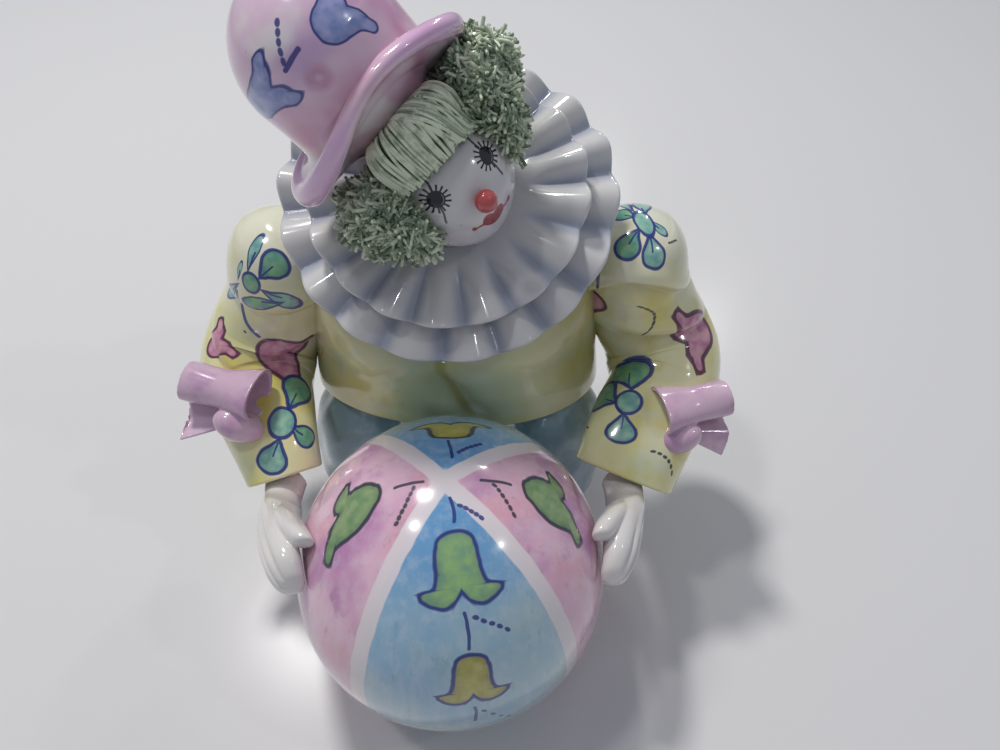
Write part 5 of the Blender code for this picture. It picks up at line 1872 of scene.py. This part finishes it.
def curl_tree():
    tree = bpy.data.node_groups.new("heaped_curls", "GeometryNodeTree")
    tree.interface.new_socket("Geometry", in_out="INPUT", socket_type="NodeSocketGeometry")
    for name, value in CURL_INPUTS:
        kind = "NodeSocketInt" if isinstance(value, int) else "NodeSocketFloat"
        socket = tree.interface.new_socket(name, in_out="INPUT", socket_type=kind)
        socket.default_value = value
    tree.interface.new_socket("Finish", in_out="INPUT", socket_type="NodeSocketMaterial")
    tree.interface.new_socket("Geometry", in_out="OUTPUT", socket_type="NodeSocketGeometry")
    start = tree.nodes.new("NodeGroupInput")
    end = tree.nodes.new("NodeGroupOutput")
    value = {name: Wire(tree, start.outputs[name]) for name, _ in CURL_INPUTS}
    scatter = tree.nodes.new("GeometryNodeDistributePointsOnFaces")
    tree.links.new(start.outputs["Geometry"], scatter.inputs["Mesh"])
    put(tree, scatter.inputs["Density"], value["Strands Per Area"])
    put(tree, scatter.inputs["Seed"], value["Seed"])
    arc = tree.nodes.new("GeometryNodeCurvePrimitiveBezierSegment")
    arc.inputs["Resolution"].default_value = 5
    long = value["Strand Length"]
    put(tree, arc.inputs["Start"], join(tree, 0, 0, long * -0.3))
    put(tree, arc.inputs["Start Handle"], join(tree, long * 0.10, 0, 0))
    put(tree, arc.inputs["End Handle"], join(tree, long * 0.14, 0, long * 0.3))
    put(tree, arc.inputs["End"], join(tree, 0, 0, long * 0.6))
    profile = tree.nodes.new("GeometryNodeCurvePrimitiveCircle")
    profile.inputs["Resolution"].default_value = 5
    put(tree, profile.inputs["Radius"], value["Strand Radius"])
    tube = tree.nodes.new("GeometryNodeCurveToMesh")
    tree.links.new(arc.outputs["Curve"], tube.inputs["Curve"])
    tree.links.new(profile.outputs["Curve"], tube.inputs["Profile Curve"])
    tube.inputs["Fill Caps"].default_value = True
    smooth = tree.nodes.new("GeometryNodeSetShadeSmooth")
    tree.links.new(tube.outputs["Mesh"], smooth.inputs["Geometry"])
    copies = tree.nodes.new("GeometryNodeInstanceOnPoints")
    tree.links.new(scatter.outputs["Points"], copies.inputs["Points"])
    tree.links.new(smooth.outputs["Geometry"], copies.inputs["Instance"])
    tilt = tree.nodes.new("FunctionNodeRandomValue")
    tilt.data_type = "FLOAT_VECTOR"
    tilt.inputs[0].default_value = (-0.45, -0.45, -1.0)
    tilt.inputs[1].default_value = (0.45, 0.45, 1.0)
    put(tree, tilt.inputs["Seed"], value["Seed"])
    spot = tree.nodes.new("GeometryNodeInputPosition")
    drift = tree.nodes.new("ShaderNodeTexNoise")
    drift.inputs["Scale"].default_value = 150
    drift.inputs["Detail"].default_value = 0
    tree.links.new(spot.outputs[0], drift.inputs["Vector"])
    lean = tree.nodes.new("ShaderNodeVectorMath")
    lean.operation = "MULTIPLY_ADD"
    tree.links.new(drift.outputs["Color"], lean.inputs[0])
    lean.inputs[1].default_value = (7.0, 7.0, 12.0)
    lean.inputs[2].default_value = (-3.5, -3.5, -6.0)
    both = tree.nodes.new("ShaderNodeVectorMath")
    tree.links.new(lean.outputs[0], both.inputs[0])
    tree.links.new(tilt.outputs[0], both.inputs[1])
    turned = tree.nodes.new("FunctionNodeRotateRotation")
    turned.rotation_space = "LOCAL"
    tree.links.new(scatter.outputs["Rotation"], turned.inputs["Rotation"])
    tree.links.new(both.outputs[0], turned.inputs["Rotate By"])
    tree.links.new(turned.outputs[0], copies.inputs["Rotation"])
    size = tree.nodes.new("FunctionNodeRandomValue")
    size.inputs[2].default_value = 0.6
    size.inputs[3].default_value = 1.2
    put(tree, size.inputs["Seed"], value["Seed"] + 3)
    tree.links.new(size.outputs[1], copies.inputs["Scale"])
    # each curl draws a random number, which the paint turns into a darker tone
    shade = tree.nodes.new("FunctionNodeRandomValue")
    put(tree, shade.inputs["Seed"], value["Seed"] + 5)
    tinted = store_shade_and_tone(tree, copies.outputs["Instances"], Wire(tree, shade.outputs[1]), "INSTANCE")
    finish_tree(tree, start, tinted, end)
    return tree


curl_rule = curl_tree()
curl_paint = paint_hair("curl_paint", tone(222, 230, 204), tone(104, 128, 100))
for word, sign in (("left", -1), ("right", 1)):
    base = loft("hair_base_" + word, tuft_rings(sign, BASE_LOWER))
    # painted shade: the base is painted dark like the cap, for the shade between the curls
    base.data.materials.append(hair_shade_paint)
    settle(base, "hair_clay", "hair_" + word)
    curls = grow("hair_curls_" + word, curl_rule, dict(CURL_INPUTS, Seed=7 + sign, Finish=curl_paint),
                 base.data.copy())
    settle(curls, "hair_clay")

# %% [markdown]
# ## Room
# A plain pale floor that reflects a little. The lamps stand where the highlights on the ball and
# the shadows on the floor place them: a soft key light high up, behind and to the left, a weaker
# one beside it in front, one to the right, and two low ones behind, which put the small sparkles
# on the shoulders. All aim at the figure's middle.

# %% Floor and lights
FLOOR_HALF = 3
FIGURE_MIDDLE = Vector((0, 0.05, 0.1))
LAMPS = (
    # name, direction from the figure's middle, distance, size, power, colour
    ("key", (-0.27, 0.38, 0.885), 1.6, 0.22, 13.5, (1.0, 0.985, 0.96)),
    ("key_beside", (-0.38, -0.02, 0.92), 1.6, 0.16, 3.4, (1.0, 0.99, 0.98)),
    ("right", (0.62, -0.18, 0.765), 1.6, 0.08, 1.2, (1, 1, 1)),
    ("behind_near", (0.313, 0.734, 0.602), 1.8, 0.12, 1.6, (1, 1, 1)),
    ("behind_far", (0.151, 0.873, 0.463), 1.8, 0.12, 1.0, (1, 1, 1)),
)
SKY = (0.80, 0.86, 1.0, 1)
SKY_STRENGTH = 0.31


def floor():
    corners = [(x * FLOOR_HALF, y * FLOOR_HALF, 0) for x, y in ((-1, -1), (1, -1), (1, 1), (-1, 1))]
    plane = mesh_object("floor", corners, [(0, 1, 2, 3)])
    material = bpy.data.materials.new("floor_paint")
    material.use_nodes = True
    shader = material.node_tree.nodes["Principled BSDF"]
    shader.inputs["Base Color"].default_value = tone(218, 217, 217)
    shader.inputs["Roughness"].default_value = 0.20
    shader.inputs["Specular IOR Level"].default_value = 0.11
    plane.data.materials.append(material)
    return plane


def lamp(name, direction, distance, size, power, colour):
    light = bpy.data.lights.new(name, "AREA")
    light.shape = "DISK"
    light.size = size
    light.energy = power
    light.color = colour
    made = bpy.data.objects.new(name, light)
    made.location = FIGURE_MIDDLE + Vector(direction).normalized() * distance
    made.rotation_euler = (FIGURE_MIDDLE - made.location).to_track_quat("-Z", "Y").to_euler()
    bpy.context.scene.collection.objects.link(made)


floor()
for row in LAMPS:
    lamp(*row)
world = bpy.data.worlds.new("room")
world.use_nodes = True
world.node_tree.nodes["Background"].inputs["Color"].default_value = SKY
world.node_tree.nodes["Background"].inputs["Strength"].default_value = SKY_STRENGTH
bpy.context.scene.world = world
bpy.context.scene.view_settings.view_transform = "Standard"
print("lamps", len(LAMPS))
